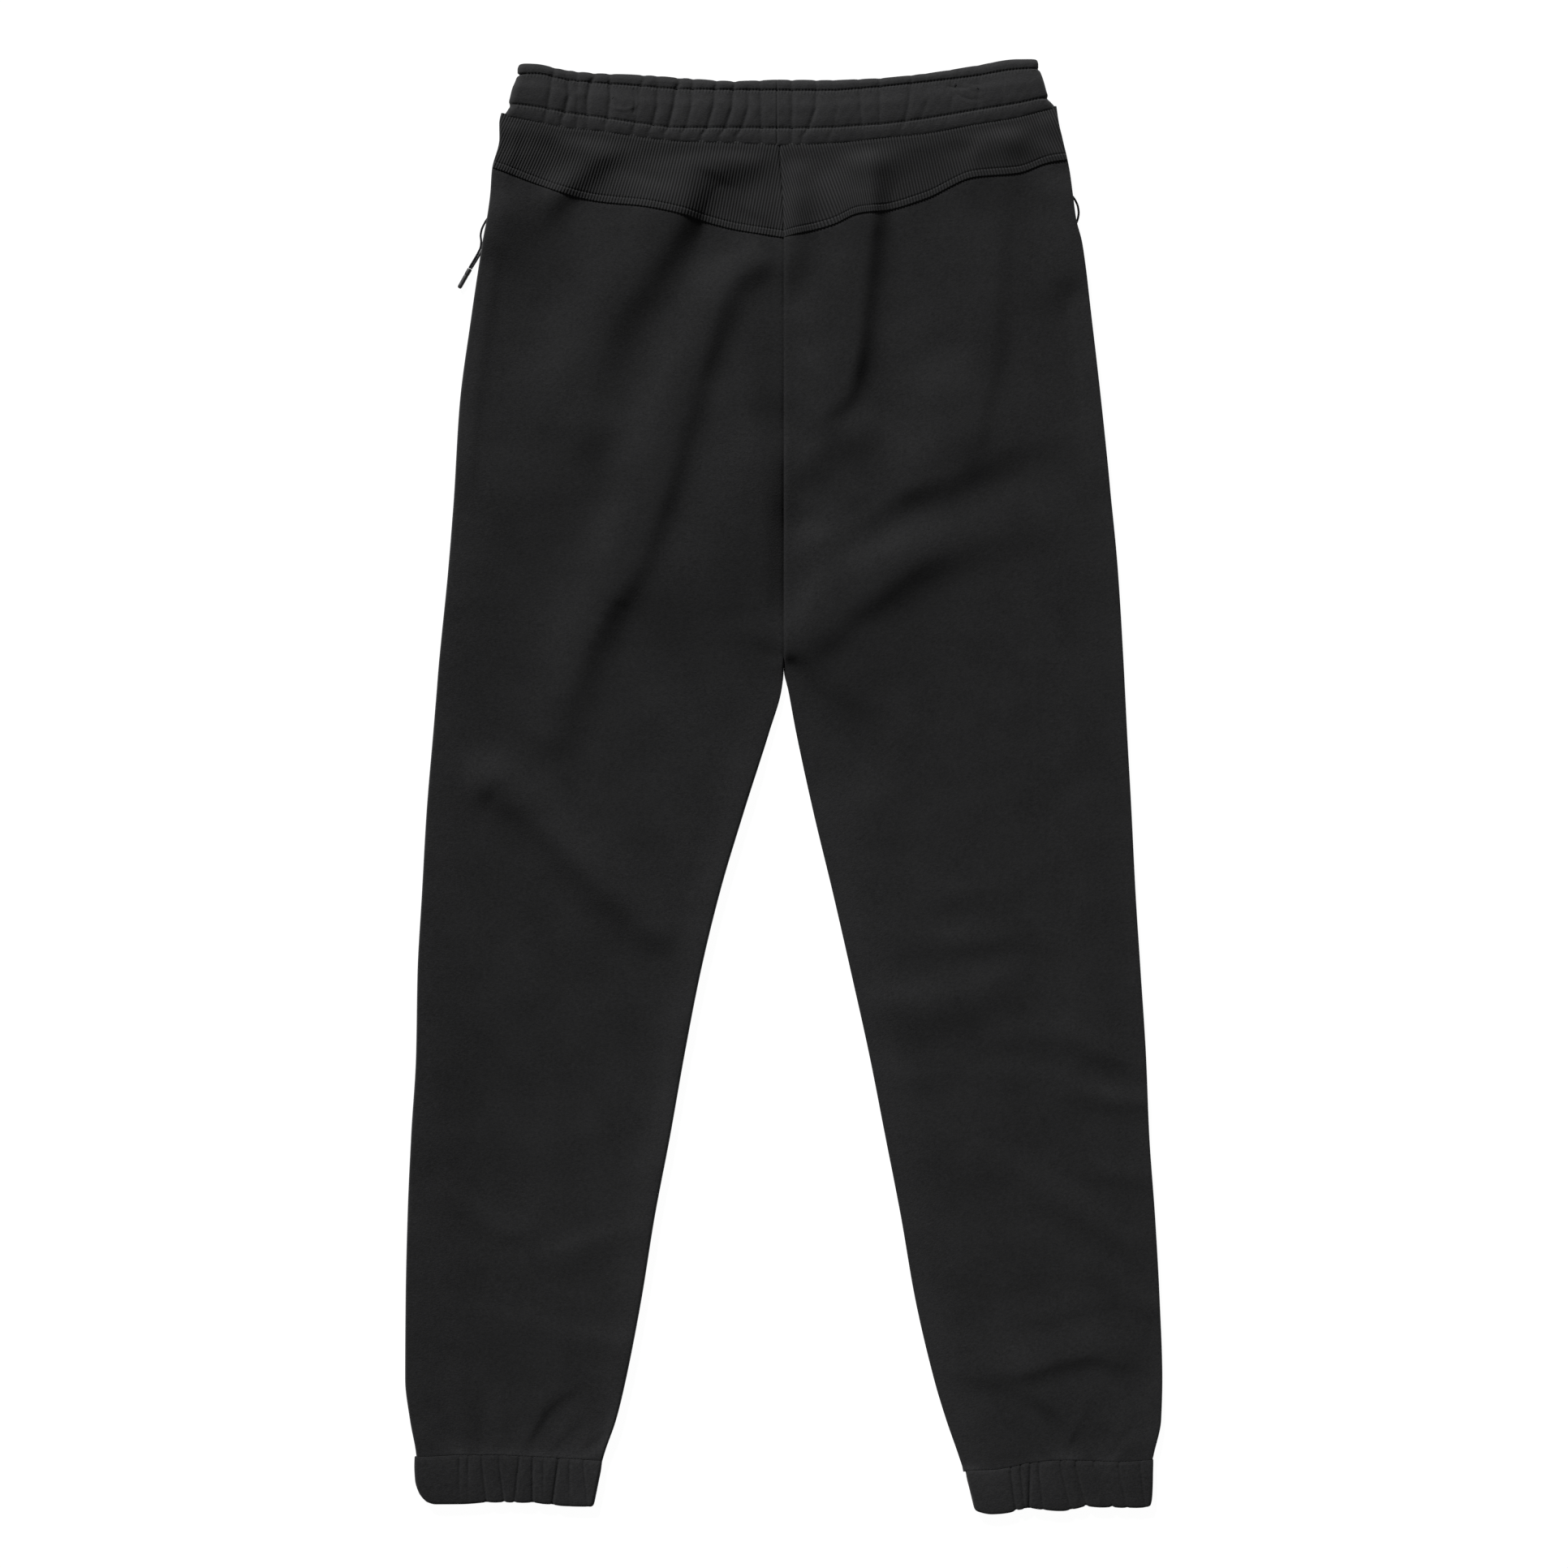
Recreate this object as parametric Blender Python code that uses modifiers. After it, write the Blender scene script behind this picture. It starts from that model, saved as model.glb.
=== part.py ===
"""Jogger sweatpants of fleece, lying flat on a surface with the back up.

The garment lies in the XY plane with the waist towards +Y and its underside at z = 0.
The front panels lie on the surface, the back panels and their ribbed yokes lie on them,
and an elastic waistband and two elastic cuffs go all round. A pocket zip runs along each
side seam on the front, and its puller is a doubled cord with a moulded tip.
Every size is in metres.
"""

from math import pi
from typing import NamedTuple

import bmesh
import bpy
import numpy as np
from mathutils import Matrix, Vector

NAME = "jogger_sweatpants"
SIDES = {"left": 1.0, "right": -1.0}     # which way x runs from a side seam inwards

# Cloth and the stack of two layers
CLOTH = 0.0020             # thickness of the fleece
CREST_CLOTH = 0.0010       # more of it where two plies pinch into the crest of a fold
GAP = 0.0003               # clearance between two pieces along a seam
HEM_GAP = 0.00045          # the same, measured along y where a seam runs aslant
LINING_SETBACK = 0.0006    # how much further from a seam across the cloth its inner face ends
MID_STACK = 0.0046         # both layers together, away from every edge
SIDE_STACK = 0.0070        # both layers together where the cloth turns over
TURN_HEIGHT = 0.0035       # height of the side seams and inseams
TURN_DEPTH = 0.0040        # how far in from the outline the cloth has turned flat
EDGE_REACH = 0.018         # how far in from a turned edge the stack stays thick
WAIST_REACH = 0.045        # how far down from the waistband it does
CUFF_REACH = 0.040         # how far up from a cuff it does
RISE_FREE = 0.0030         # rises up to here keep their full height
RISE_SOFT = 0.0013         # what is left for everything above that
CREST_FROM = 0.0024        # rise at which the cloth starts to grow thicker

# Seat seam, seat yokes and their ribs
SEAT_GROOVE = 0.0005
SEAT_GROOVE_WIDTH = 0.0018
CENTRE_X = 0.0004
CROTCH_Y = 0.0804
SEAT_SPREAD = 0.0700       # above the crotch the seat seam opens out over this length
YOKE_STEP = 0.0006         # the yoke is this much thicker than the panel below
RIBS_ON_TURN = 3
RIBS_ON_FACE = 92
RIB_HEIGHT = 0.0006

# Pocket zips and pullers
ZIP_REACH = (0.162, 0.012)     # length below and above the slider's middle
ZIP_TAPE = 0.0010
SIDE_LIFT = 0.0017             # bulky side seams hold the cloth this high, clear of the tape
SIDE_LIFT_WIDTH = 0.0145
PULLER_LIFT = 0.0044           # and this much over the slider, cords and tip
PULLER_LIFT_REACH = 0.0190
SLIDER_SIZE = (0.0062, 0.0090, 0.0017)
SLIDER_Z = 0.0005
CORD_RADIUS = 0.00075
CORD_STEP = 0.0036
TIP_LENGTH = 0.0155
TIP_RADIUS = 0.0017
TIP_Z = 0.00175


class Level(NamedTuple):
    """Where the side seams and the inseams, or the seat seam, cross one height y."""

    y: float
    left_side: float
    left_inner: float
    right_inner: float
    right_side: float


OUTLINE = (
    Level(-0.4720, -0.2525, -0.1265, 0.1243, 0.2535),
    Level(-0.4600, -0.2537, -0.1238, 0.1204, 0.2554),
    Level(-0.4376, -0.2576, -0.1159, 0.1126, 0.2598),
    Level(-0.4096, -0.2610, -0.1092, 0.1042, 0.2610),
    Level(-0.3536, -0.2604, -0.0986, 0.0913, 0.2593),
    Level(-0.2976, -0.2587, -0.0896, 0.0818, 0.2559),
    Level(-0.2416, -0.2565, -0.0790, 0.0706, 0.2520),
    Level(-0.1856, -0.2531, -0.0689, 0.0594, 0.2498),
    Level(-0.1296, -0.2520, -0.0577, 0.0470, 0.2458),
    Level(-0.0736, -0.2492, -0.0442, 0.0342, 0.2425),
    Level(-0.0176, -0.2458, -0.0280, 0.0207, 0.2397),
    Level(0.0384, -0.2414, -0.0101, 0.0090, 0.2369),
    Level(0.0664, -0.2390, -0.0011, 0.0034, 0.2355),
    Level(0.0804, -0.2375, 0.0004, 0.0008, 0.2348),
    Level(0.1504, -0.2307, 0.0004, 0.0008, 0.2302),
    Level(0.2064, -0.2262, 0.0004, 0.0008, 0.2251),
    Level(0.2624, -0.2229, 0.0004, 0.0008, 0.2190),
    Level(0.3184, -0.2156, 0.0004, 0.0008, 0.2128),
    Level(0.3744, -0.2072, 0.0004, 0.0008, 0.2055),
    Level(0.3912, -0.2038, 0.0002, 0.0006, 0.2015),
    Level(0.4080, -0.2018, -0.0004, 0.0000, 0.1988),
    Level(0.4248, -0.2005, -0.0014, -0.0010, 0.1971),
    Level(0.4472, -0.1960, -0.0029, -0.0025, 0.1925),
    Level(0.4700, -0.1930, -0.0035, -0.0031, 0.1885),
)


class Across(NamedTuple):
    """Heights of the waistband's edges and stitch lines, and of the yokes' hem, at one x."""

    x: float
    top: float
    upper_stitch: float
    lower_stitch: float
    bottom: float
    yoke_hem: float


WAIST = (
    Across(-0.2010, 0.4990, 0.4935, 0.4712, 0.4640, 0.4262),
    Across(-0.1904, 0.4985, 0.4931, 0.4704, 0.4614, 0.4225),
    Across(-0.1708, 0.4978, 0.4908, 0.4682, 0.4575, 0.4152),
    Across(-0.1484, 0.4931, 0.4866, 0.4640, 0.4528, 0.4074),
    Across(-0.1260, 0.4908, 0.4845, 0.4609, 0.4509, 0.4026),
    Across(-0.0980, 0.4897, 0.4824, 0.4567, 0.4466, 0.3990),
    Across(-0.0700, 0.4875, 0.4804, 0.4537, 0.4438, 0.3934),
    Across(-0.0336, 0.4855, 0.4799, 0.4537, 0.4425, 0.3839),
    Across(CENTRE_X, 0.4869, 0.4795, 0.4534, 0.4412, 0.3777),
    Across(0.0342, 0.4866, 0.4794, 0.4539, 0.4426, 0.3861),
    Across(0.0515, 0.4871, 0.4806, 0.4551, 0.4441, 0.3934),
    Across(0.0666, 0.4878, 0.4819, 0.4561, 0.4459, 0.3956),
    Across(0.0980, 0.4908, 0.4852, 0.4600, 0.4491, 0.4049),
    Across(0.1316, 0.4964, 0.4892, 0.4656, 0.4553, 0.4194),
    Across(0.1613, 0.5009, 0.4939, 0.4705, 0.4603, 0.4222),
    Across(0.1820, 0.5016, 0.4948, 0.4746, 0.4656, 0.4292),
    Across(0.1971, 0.5016, 0.4950, 0.4760, 0.4690, 0.4315),
)


class CuffEdge(NamedTuple):
    """Heights of a cuff's seam and of its free edge at one x."""

    x: float
    free: float
    seam: float


CUFF_EDGES = {
    "left": (
        CuffEdge(-0.2540, -0.4935, -0.4630),
        CuffEdge(-0.2420, -0.4948, -0.4626),
        CuffEdge(-0.2229, -0.4949, -0.4617),
        CuffEdge(-0.2010, -0.4938, -0.4617),
        CuffEdge(-0.1742, -0.4936, -0.4628),
        CuffEdge(-0.1523, -0.4957, -0.4640),
        CuffEdge(-0.1260, -0.4968, -0.4656),
    ),
    "right": (
        CuffEdge(0.1260, -0.4975, -0.4724),
        CuffEdge(0.1440, -0.5015, -0.4719),
        CuffEdge(0.1562, -0.5009, -0.4702),
        CuffEdge(0.1686, -0.4976, -0.4673),
        CuffEdge(0.1932, -0.4992, -0.4653),
        CuffEdge(0.2100, -0.4964, -0.4656),
        CuffEdge(0.2300, -0.4974, -0.4664),
        CuffEdge(0.2542, -0.4975, -0.4651),
    ),
}


class Fold(NamedTuple):
    """A soft ridge, or a trough if its height is negative, along a route across the back.

    The flanks are the widths to the left and to the right of someone who walks the route.
    """

    route: tuple
    height: float
    left_flank: float
    right_flank: float


FOLDS = (
    # left seat and yoke
    Fold(((-0.008, 0.372), (-0.045, 0.338), (-0.067, 0.290), (-0.084, 0.229), (-0.101, 0.173),
          (-0.123, 0.131), (-0.146, 0.089), (-0.160, 0.050)), 0.0036, 0.012, 0.026),
    Fold(((-0.060, 0.426), (-0.080, 0.380), (-0.112, 0.330)), 0.0024, 0.012, 0.020),
    Fold(((-0.106, 0.444), (-0.134, 0.422), (-0.165, 0.398)), 0.0014, 0.010, 0.014),
    Fold(((-0.055, 0.300), (-0.050, 0.210), (-0.045, 0.130)), 0.0012, 0.030, 0.030),
    # left leg
    Fold(((-0.206, 0.002), (-0.171, -0.015), (-0.140, -0.046), (-0.112, -0.076),
          (-0.066, -0.115)), 0.0026, 0.022, 0.012),
    Fold(((-0.230, -0.268), (-0.199, -0.285), (-0.168, -0.299)), 0.0013, 0.014, 0.010),
    Fold(((-0.208, -0.329), (-0.148, -0.320), (-0.112, -0.293)), 0.0013, 0.014, 0.010),
    Fold(((-0.208, -0.350), (-0.165, -0.366), (-0.122, -0.380)), 0.0011, 0.014, 0.010),
    Fold(((-0.141, -0.412), (-0.158, -0.440), (-0.176, -0.466)), -0.0022, 0.006, 0.006),
    Fold(((-0.238, -0.436), (-0.231, -0.446), (-0.224, -0.458)), -0.0018, 0.006, 0.006),
    Fold(((-0.207, -0.430), (-0.207, -0.446), (-0.207, -0.464)), -0.0018, 0.006, 0.006),
    # right seat and yoke
    Fold(((0.077, 0.436), (0.056, 0.396), (0.049, 0.346), (0.043, 0.296),
          (0.018, 0.248)), 0.0028, 0.012, 0.019),
    Fold(((0.140, 0.374), (0.138, 0.318), (0.129, 0.251)), 0.0012, 0.014, 0.024),
    Fold(((0.170, 0.242), (0.120, 0.219), (0.070, 0.204)), 0.0021, 0.012, 0.026),
    Fold(((0.166, 0.186), (0.098, 0.156), (0.048, 0.128), (0.017, 0.112)), 0.0031, 0.012, 0.017),
    # right leg
    Fold(((0.090, -0.106), (0.126, -0.103), (0.162, -0.106)), 0.0013, 0.016, 0.010),
    Fold(((0.058, -0.156), (0.115, -0.146), (0.172, -0.128)), 0.0025, 0.015, 0.011),
    Fold(((0.143, -0.173), (0.204, -0.174), (0.246, -0.190)), 0.0015, 0.014, 0.010),
    Fold(((0.163, -0.199), (0.204, -0.206), (0.250, -0.215)), 0.0019, 0.010, 0.009),
    Fold(((0.148, -0.258), (0.193, -0.286), (0.242, -0.308)), 0.0019, 0.015, 0.010),
    Fold(((0.118, -0.405), (0.168, -0.399), (0.213, -0.390), (0.240, -0.396)), 0.0023, 0.020, 0.011),
    Fold(((0.180, -0.428), (0.184, -0.444), (0.190, -0.462)), -0.0020, 0.006, 0.006),
    Fold(((0.206, -0.438), (0.202, -0.450), (0.196, -0.466)), -0.0020, 0.006, 0.006),
)
CREST_SAMPLES = 48


class Gather(NamedTuple):
    """A crease across a band: its x in each channel, and how much it pulls each one in."""

    xs: tuple
    pulls: tuple


WAIST_GATHERS = (
    Gather((-0.1579, -0.1607, -0.1641), (0.30, 0.35, 0.25)),
    Gather((-0.1495, -0.1478, -0.1529), (0.25, 0.50, 0.35)),
    Gather((-0.1417, -0.1417, -0.1422), (0.35, 0.10, 0.30)),
    Gather((-0.1305, -0.1350, -0.1350), (0.35, 0.50, 0.20)),
    Gather((-0.1193, -0.1193, -0.1226), (0.30, 0.40, 0.25)),
    Gather((-0.0963, -0.1002, -0.1036), (0.30, 0.12, 0.30)),
    Gather((-0.0868, -0.0868, -0.0930), (0.20, 0.40, 0.25)),
    Gather((-0.0717, -0.0756, -0.0823), (0.45, 0.50, 0.25)),
    Gather((-0.0622, -0.0633, -0.0711), (0.30, 0.30, 0.10)),
    Gather((-0.0459, -0.0482, -0.0566), (0.30, 0.40, 0.30)),
    Gather((-0.0336, -0.0353, -0.0442), (0.40, 0.40, 0.25)),
    Gather((-0.0241, -0.0241, -0.0325), (0.05, 0.30, 0.30)),
    Gather((-0.0162, -0.0151, -0.0151), (0.25, 0.30, 0.25)),
    Gather((-0.0048, -0.0046, -0.0043), (0.40, 0.45, 0.40)),
    Gather((0.0059, 0.0062, 0.0059), (0.30, 0.30, 0.35)),
    Gather((0.0230, 0.0224, 0.0129), (0.25, 0.35, 0.20)),
    Gather((0.0347, 0.0375, 0.0314), (0.12, 0.12, 0.12)),
    Gather((0.0521, 0.0532, 0.0560), (0.20, 0.30, 0.10)),
    Gather((0.0666, 0.0666, 0.0666), (0.25, 0.25, 0.05)),
    Gather((0.0885, 0.0868, 0.0812), (0.15, 0.25, 0.15)),
    Gather((0.0980, 0.0997, 0.0902), (0.10, 0.10, 0.10)),
    Gather((0.1148, 0.1170, 0.1120), (0.10, 0.12, 0.05)),
    Gather((0.1344, 0.1350, 0.1316), (0.10, 0.12, 0.05)),
    Gather((0.1439, 0.1512, 0.1512), (0.05, 0.08, 0.05)),
)
CUFF_GATHERS = {
    "left": tuple(
        Gather((x, x - 0.001), (pull,))
        for x, pull in (
            (-0.2229, 0.25), (-0.2167, 0.35), (-0.2072, 0.30), (-0.1954, 0.35), (-0.1826, 0.30),
            (-0.1742, 0.40), (-0.1652, 0.30), (-0.1557, 0.35), (-0.1467, 0.30), (-0.1372, 0.25),
        )
    ),
    "right": tuple(
        Gather((free, seam), (pull,))
        for free, seam, pull in (
            (0.1607, 0.1568, 0.30), (0.1663, 0.1641, 0.30), (0.1697, 0.1708, 0.45),
            (0.1854, 0.1809, 0.30), (0.1966, 0.1910, 0.30), (0.2100, 0.2016, 0.45),
            (0.2268, 0.2156, 0.30), (0.2369, 0.2302, 0.30), (0.2464, 0.2464, 0.15),
        )
    ),
}


class BandRow(NamedTuple):
    """One row of a band. Its level counts the lines of the band that it has passed.

    The puff is the upper wall's thickness there and the base the lower wall's, and the
    two ends are the x where the band turns over.
    """

    level: float
    puff: float
    base: float
    left: float
    right: float


WAIST_ROWS = (
    BandRow(0.00, 0.0014, 0.0018, -0.1764, 0.1722),
    BandRow(0.14, 0.0031, 0.0036, -0.1803, 0.1750),
    BandRow(0.55, 0.0044, 0.0049, -0.1828, 0.1757),
    BandRow(1.00, 0.0025, 0.0049, -0.1806, 0.1757),
    BandRow(1.12, 0.0041, 0.0049, -0.1810, 0.1768),
    BandRow(1.35, 0.0049, 0.0049, -0.1830, 0.1785),
    BandRow(1.65, 0.0048, 0.0049, -0.1856, 0.1801),
    BandRow(1.90, 0.0038, 0.0049, -0.1879, 0.1815),
    BandRow(2.00, 0.0024, 0.0049, -0.1878, 0.1815),
    BandRow(2.25, 0.0043, 0.0049, -0.1898, 0.1842),
    BandRow(2.75, 0.0042, 0.0045, -0.1922, 0.1875),
    BandRow(3.00, 0.0025, 0.0026, -0.1932, 0.1888),
)
CUFF_ROWS = {
    "left": (
        BandRow(0.00, 0.0014, 0.0018, -0.2415, -0.1325),
        BandRow(0.08, 0.0030, 0.0035, -0.2455, -0.1306),
        BandRow(0.24, 0.0041, 0.0045, -0.2495, -0.1296),
        BandRow(0.50, 0.0043, 0.0045, -0.2528, -0.1284),
        BandRow(0.80, 0.0042, 0.0045, -0.2541, -0.1270),
        BandRow(0.92, 0.0035, 0.0038, -0.2542, -0.1263),
        BandRow(1.00, 0.0022, 0.0026, -0.2541, -0.1260),
    ),
    "right": (
        BandRow(0.00, 0.0014, 0.0018, 0.1344, 0.2500),
        BandRow(0.08, 0.0030, 0.0035, 0.1326, 0.2532),
        BandRow(0.24, 0.0041, 0.0045, 0.1312, 0.2544),
        BandRow(0.50, 0.0043, 0.0045, 0.1294, 0.2549),
        BandRow(0.80, 0.0042, 0.0045, 0.1271, 0.2551),
        BandRow(0.92, 0.0035, 0.0038, 0.1262, 0.2552),
        BandRow(1.00, 0.0022, 0.0026, 0.1258, 0.2552),
    ),
}
WAIST_MIDDLE = 0.00525     # height of the slit between the band's two walls
CUFF_MIDDLE = 0.00485
BAND_SLIT = 0.0006
BAND_TURN = 0.0052         # how far in from its end a band has turned flat
CREASE_COLUMNS = 3         # columns from one gather to the next
TURN_STEPS = 4
UNDER_COLUMNS = 9          # across the lower wall
SLIT_COLUMNS = 13          # across each face of the slit


class Puller(NamedTuple):
    """A zip slider, the two strands of its cord and the tip, as places on one side."""

    slider: tuple
    outer: tuple
    inner: tuple
    tip_start: tuple
    tip_heading: tuple
    lift: tuple


PULLERS = {
    "left": Puller(
        slider=(-0.1985, 0.3935),
        outer=((-0.2022, 0.3944, 0.0013), (-0.2043, 0.3924, 0.0011), (-0.2068, 0.3884, 0.0009),
               (-0.2086, 0.3842, 0.0008), (-0.2092, 0.3804, 0.0008), (-0.2088, 0.3766, 0.0008),
               (-0.2091, 0.3730, 0.0008), (-0.2112, 0.3686, 0.0009), (-0.2140, 0.3636, 0.0012),
               (-0.2171, 0.3583, 0.00175)),
        inner=((-0.1990, 0.3885, 0.0013), (-0.2002, 0.3852, 0.0011), (-0.2026, 0.3812, 0.0009),
               (-0.2052, 0.3774, 0.0008), (-0.2068, 0.3734, 0.0008), (-0.2090, 0.3684, 0.0009),
               (-0.2121, 0.3630, 0.0012), (-0.2155, 0.3574, 0.00175)),
        tip_start=(-0.21645, 0.3575),
        tip_heading=(-0.493, -0.870),
        lift=((-0.1990, 0.3930), (-0.2020, 0.3800)),
    ),
    "right": Puller(
        slider=(0.1942, 0.4085),
        outer=((0.1979, 0.4094, 0.0013), (0.1998, 0.4078, 0.0011), (0.2022, 0.4044, 0.0009),
               (0.2038, 0.4004, 0.0008), (0.2043, 0.3962, 0.0008), (0.2035, 0.3916, 0.0008),
               (0.2016, 0.3868, 0.0008), (0.1993, 0.3814, 0.0009), (0.1976, 0.3754, 0.0012),
               (0.1965, 0.3696, 0.00175)),
        inner=((0.1944, 0.4035, 0.0013), (0.1950, 0.3996, 0.0011), (0.1960, 0.3954, 0.0009),
               (0.1969, 0.3908, 0.0008), (0.1971, 0.3860, 0.0008), (0.1962, 0.3806, 0.0009),
               (0.1953, 0.3752, 0.0012), (0.19475, 0.3694, 0.00175)),
        tip_start=(0.1956, 0.3691),
        tip_heading=(-0.148, -0.989),
        lift=((0.1950, 0.4060), (0.1940, 0.3570)),
    ),
}

# Columns and rows of the panels' grids
TURN_FINE = (0.0, 1 / 3, 2 / 3)          # shares of the quarter turn at an edge
TURN_COARSE = (0.0, 0.5)
BACK_FACE = (0, .028, .06, .1, .145, .195, .25, .31, .37, .435, .5, .565, .63, .7, .77, .84, .92, 1)
BACK_LINING = (0, .028, .06, .1, .16, .25, .37, .5, .63, .77, .9, 1)
FRONT_FACE = (0, .0285, .06, .1, .16, .26, .40, .56, .72, .88, 1)
BACK_FINE_ROWS, BACK_ROWS = 9, 30
LINING_ROWS = 16
FRONT_FINE_ROWS, FRONT_ROWS = 11, 12
BACK_FINE_END = 0.105      # share of a back panel's length that has close rows
FRONT_FINE_SPAN = (0.028, 0.135)
FRONT_CROWDING = 1.3       # above 1 the rows crowd towards the cuff
YOKE_ROWS = 4
YOKE_LINING = 20
TAPE_COLUMNS = slice(1, 4)
TOP_GUESS = 0.42           # where the search for a seam's height starts
BOTTOM_GUESS = -0.46
SEAM_PASSES = 5


class Finish(NamedTuple):
    """A plain colour and how rough it is."""

    colour: tuple
    roughness: float


FLEECE = Finish((0.0168, 0.0168, 0.0176, 1.0), 0.95)
FLEECE_BAND = Finish((0.0222, 0.0222, 0.0232, 1.0), 0.95)
TAPE = Finish((0.0080, 0.0080, 0.0085, 1.0), 0.6)
SLIDER = Finish((0.0080, 0.0080, 0.0085, 1.0), 0.45)
CORD = Finish((0.0080, 0.0080, 0.0085, 1.0), 0.8)
TIP = Finish((0.0080, 0.0080, 0.0085, 1.0), 0.5)


# ---------------------------------------------------------------- curves and fields

def column(rows, name):
    """Gather one named column of a table into an array."""
    return np.array([getattr(row, name) for row in rows], float)


def through(xs, ys, at):
    """Read a smooth curve through points at the places `at`.

    Each stretch is a cubic, with slopes that never swing the curve past its points.
    """
    xs, ys, at = (np.asarray(values, float) for values in (xs, ys, at))
    secant = np.diff(ys) / np.diff(xs)
    before, after = secant[:-1], secant[1:]
    same_way = before * after > 0
    safe_sum = np.where(same_way, before + after, 1.0)
    middle = np.where(same_way, 2 * before * after / safe_sum, 0.0)
    slope = np.concatenate([secant[:1], middle, secant[-1:]])
    i = np.clip(np.searchsorted(xs, at) - 1, 0, len(xs) - 2)
    span = xs[i + 1] - xs[i]
    f = np.clip((at - xs[i]) / span, 0, 1)
    ends = ys[i] * (1 + 2 * f) * (1 - f) ** 2 + ys[i + 1] * f * f * (3 - 2 * f)
    return ends + span * (slope[i] * f * (1 - f) ** 2 - slope[i + 1] * f * f * (1 - f))


def side_seam(side, y):
    """x of the side seam at the height y."""
    return through(column(OUTLINE, "y"), column(OUTLINE, side + "_side"), y)


def inner_seam(side, y):
    """x of a panel's inner edge at the height y: the seat seam, and the inseam below it."""
    return through(column(OUTLINE, "y"), column(OUTLINE, side + "_inner"), y)


def waist_line(name, x):
    """Height of one of the waist's lines at x."""
    return through(column(WAIST, "x"), column(WAIST, name), x)


def yoke_hem(side, x):
    """Height of a yoke's hem at x: each half is smooth and they meet in a point."""
    rows = [row for row in WAIST if (CENTRE_X - row.x) * SIDES[side] >= 0]
    return through(column(rows, "x"), column(rows, "yoke_hem"), x)


def cuff_line(side, name, x):
    """Height of a cuff's free edge or seam at x."""
    rows = CUFF_EDGES[side]
    return through(column(rows, "x"), column(rows, name), x)


def bell(distance, reach):
    """1 at no distance, falling smoothly to nothing at about twice the reach."""
    return np.exp(-((distance / reach) ** 2))


def turn_share(y):
    """How far the inner edge turns over at y: 0 along the seat seam, 1 along the inseam."""
    f = np.clip((CROTCH_Y + SEAT_SPREAD - y) / SEAT_SPREAD, 0, 1)
    return f * f * (3 - 2 * f)


def fold_rise(fold, x, y):
    """Height that one fold adds at x, y: a bell across its crest that fades at its ends."""
    route = np.array(fold.route)
    steps = np.linspace(0, len(route) - 1, CREST_SAMPLES)
    crest = np.stack([through(range(len(route)), route[:, k], steps) for k in (0, 1)], -1)
    heading = np.gradient(crest, axis=0)
    offset = np.stack([x, y], -1)[..., None, :] - crest
    nearest = (offset ** 2).sum(-1).argmin(-1)
    away = np.take_along_axis(offset, nearest[..., None, None], -2)[..., 0, :]
    ahead = heading[nearest]
    on_left = ahead[..., 0] * away[..., 1] - ahead[..., 1] * away[..., 0] > 0
    reach = np.where(on_left, fold.left_flank, fold.right_flank)
    along = nearest / (CREST_SAMPLES - 1)
    fade = 1 - np.abs(2 * along - 1) ** 3
    return fold.height * fade * bell(np.hypot(away[..., 0], away[..., 1]), reach)


def lift(side, x, y):
    """How much the cloth is raised off the surface along the side seam and over the puller."""
    inside = np.abs(x - side_seam(side, y))
    at_seam = SIDE_LIFT / (1 + (inside / SIDE_LIFT_WIDTH) ** 8)
    start, end = (np.array(point) for point in PULLERS[side].lift)
    run = end - start
    share = ((x - start[0]) * run[0] + (y - start[1]) * run[1]) / (run @ run)
    share = np.clip(share, 0, 1)
    distance = np.hypot(x - start[0] - share * run[0], y - start[1] - share * run[1])
    over_puller = PULLER_LIFT * bell(distance, PULLER_LIFT_REACH)
    return (at_seam ** 4 + over_puller ** 4) ** 0.25


def rise(side, x, y):
    """How much higher than the flat stack the back lies at x, y, folds included."""
    at_side = bell(x - side_seam(side, y), EDGE_REACH)
    at_inseam = turn_share(y) * bell(x - inner_seam(side, y), EDGE_REACH)
    at_waist = bell(waist_line("bottom", x) - y, WAIST_REACH)
    at_cuff = bell(y - cuff_line(side, "seam", x), CUFF_REACH)
    flat = (1 - at_side) * (1 - at_inseam) * (1 - at_waist) * (1 - at_cuff)
    total = (SIDE_STACK - MID_STACK) * (1 - flat)
    total = total + sum(fold_rise(fold, x, y) for fold in FOLDS)
    total = np.maximum(total, 0)
    above = np.maximum(total - RISE_FREE, 0)
    return np.minimum(total, RISE_FREE) + RISE_SOFT * np.tanh(above / RISE_SOFT)


# ---------------------------------------------------------------- walls

def place(item, finish):
    """Give an object a material of its own and put it in the garment's collection."""
    material = bpy.data.materials.new(item.name)
    material.use_nodes = True
    shader = material.node_tree.nodes["Principled BSDF"]
    shader.inputs["Base Color"].default_value = finish.colour
    shader.inputs["Roughness"].default_value = finish.roughness
    shader.inputs["Metallic"].default_value = 0.0
    item.data.materials.append(material)
    bpy.data.collections[NAME].objects.link(item)


def add_grid(bm, points, closed):
    """Add the vertices and quads of a grid of points; a closed one joins its last column to its first."""
    rows, columns = points.shape[:2]
    verts = [[bm.verts.new(points[i, j]) for j in range(columns)] for i in range(rows)]
    for i in range(rows - 1):
        for j in range(columns if closed else columns - 1):
            k = (j + 1) % columns
            bm.faces.new((verts[i][j], verts[i][k], verts[i + 1][k], verts[i + 1][j]))
    return verts


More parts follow.
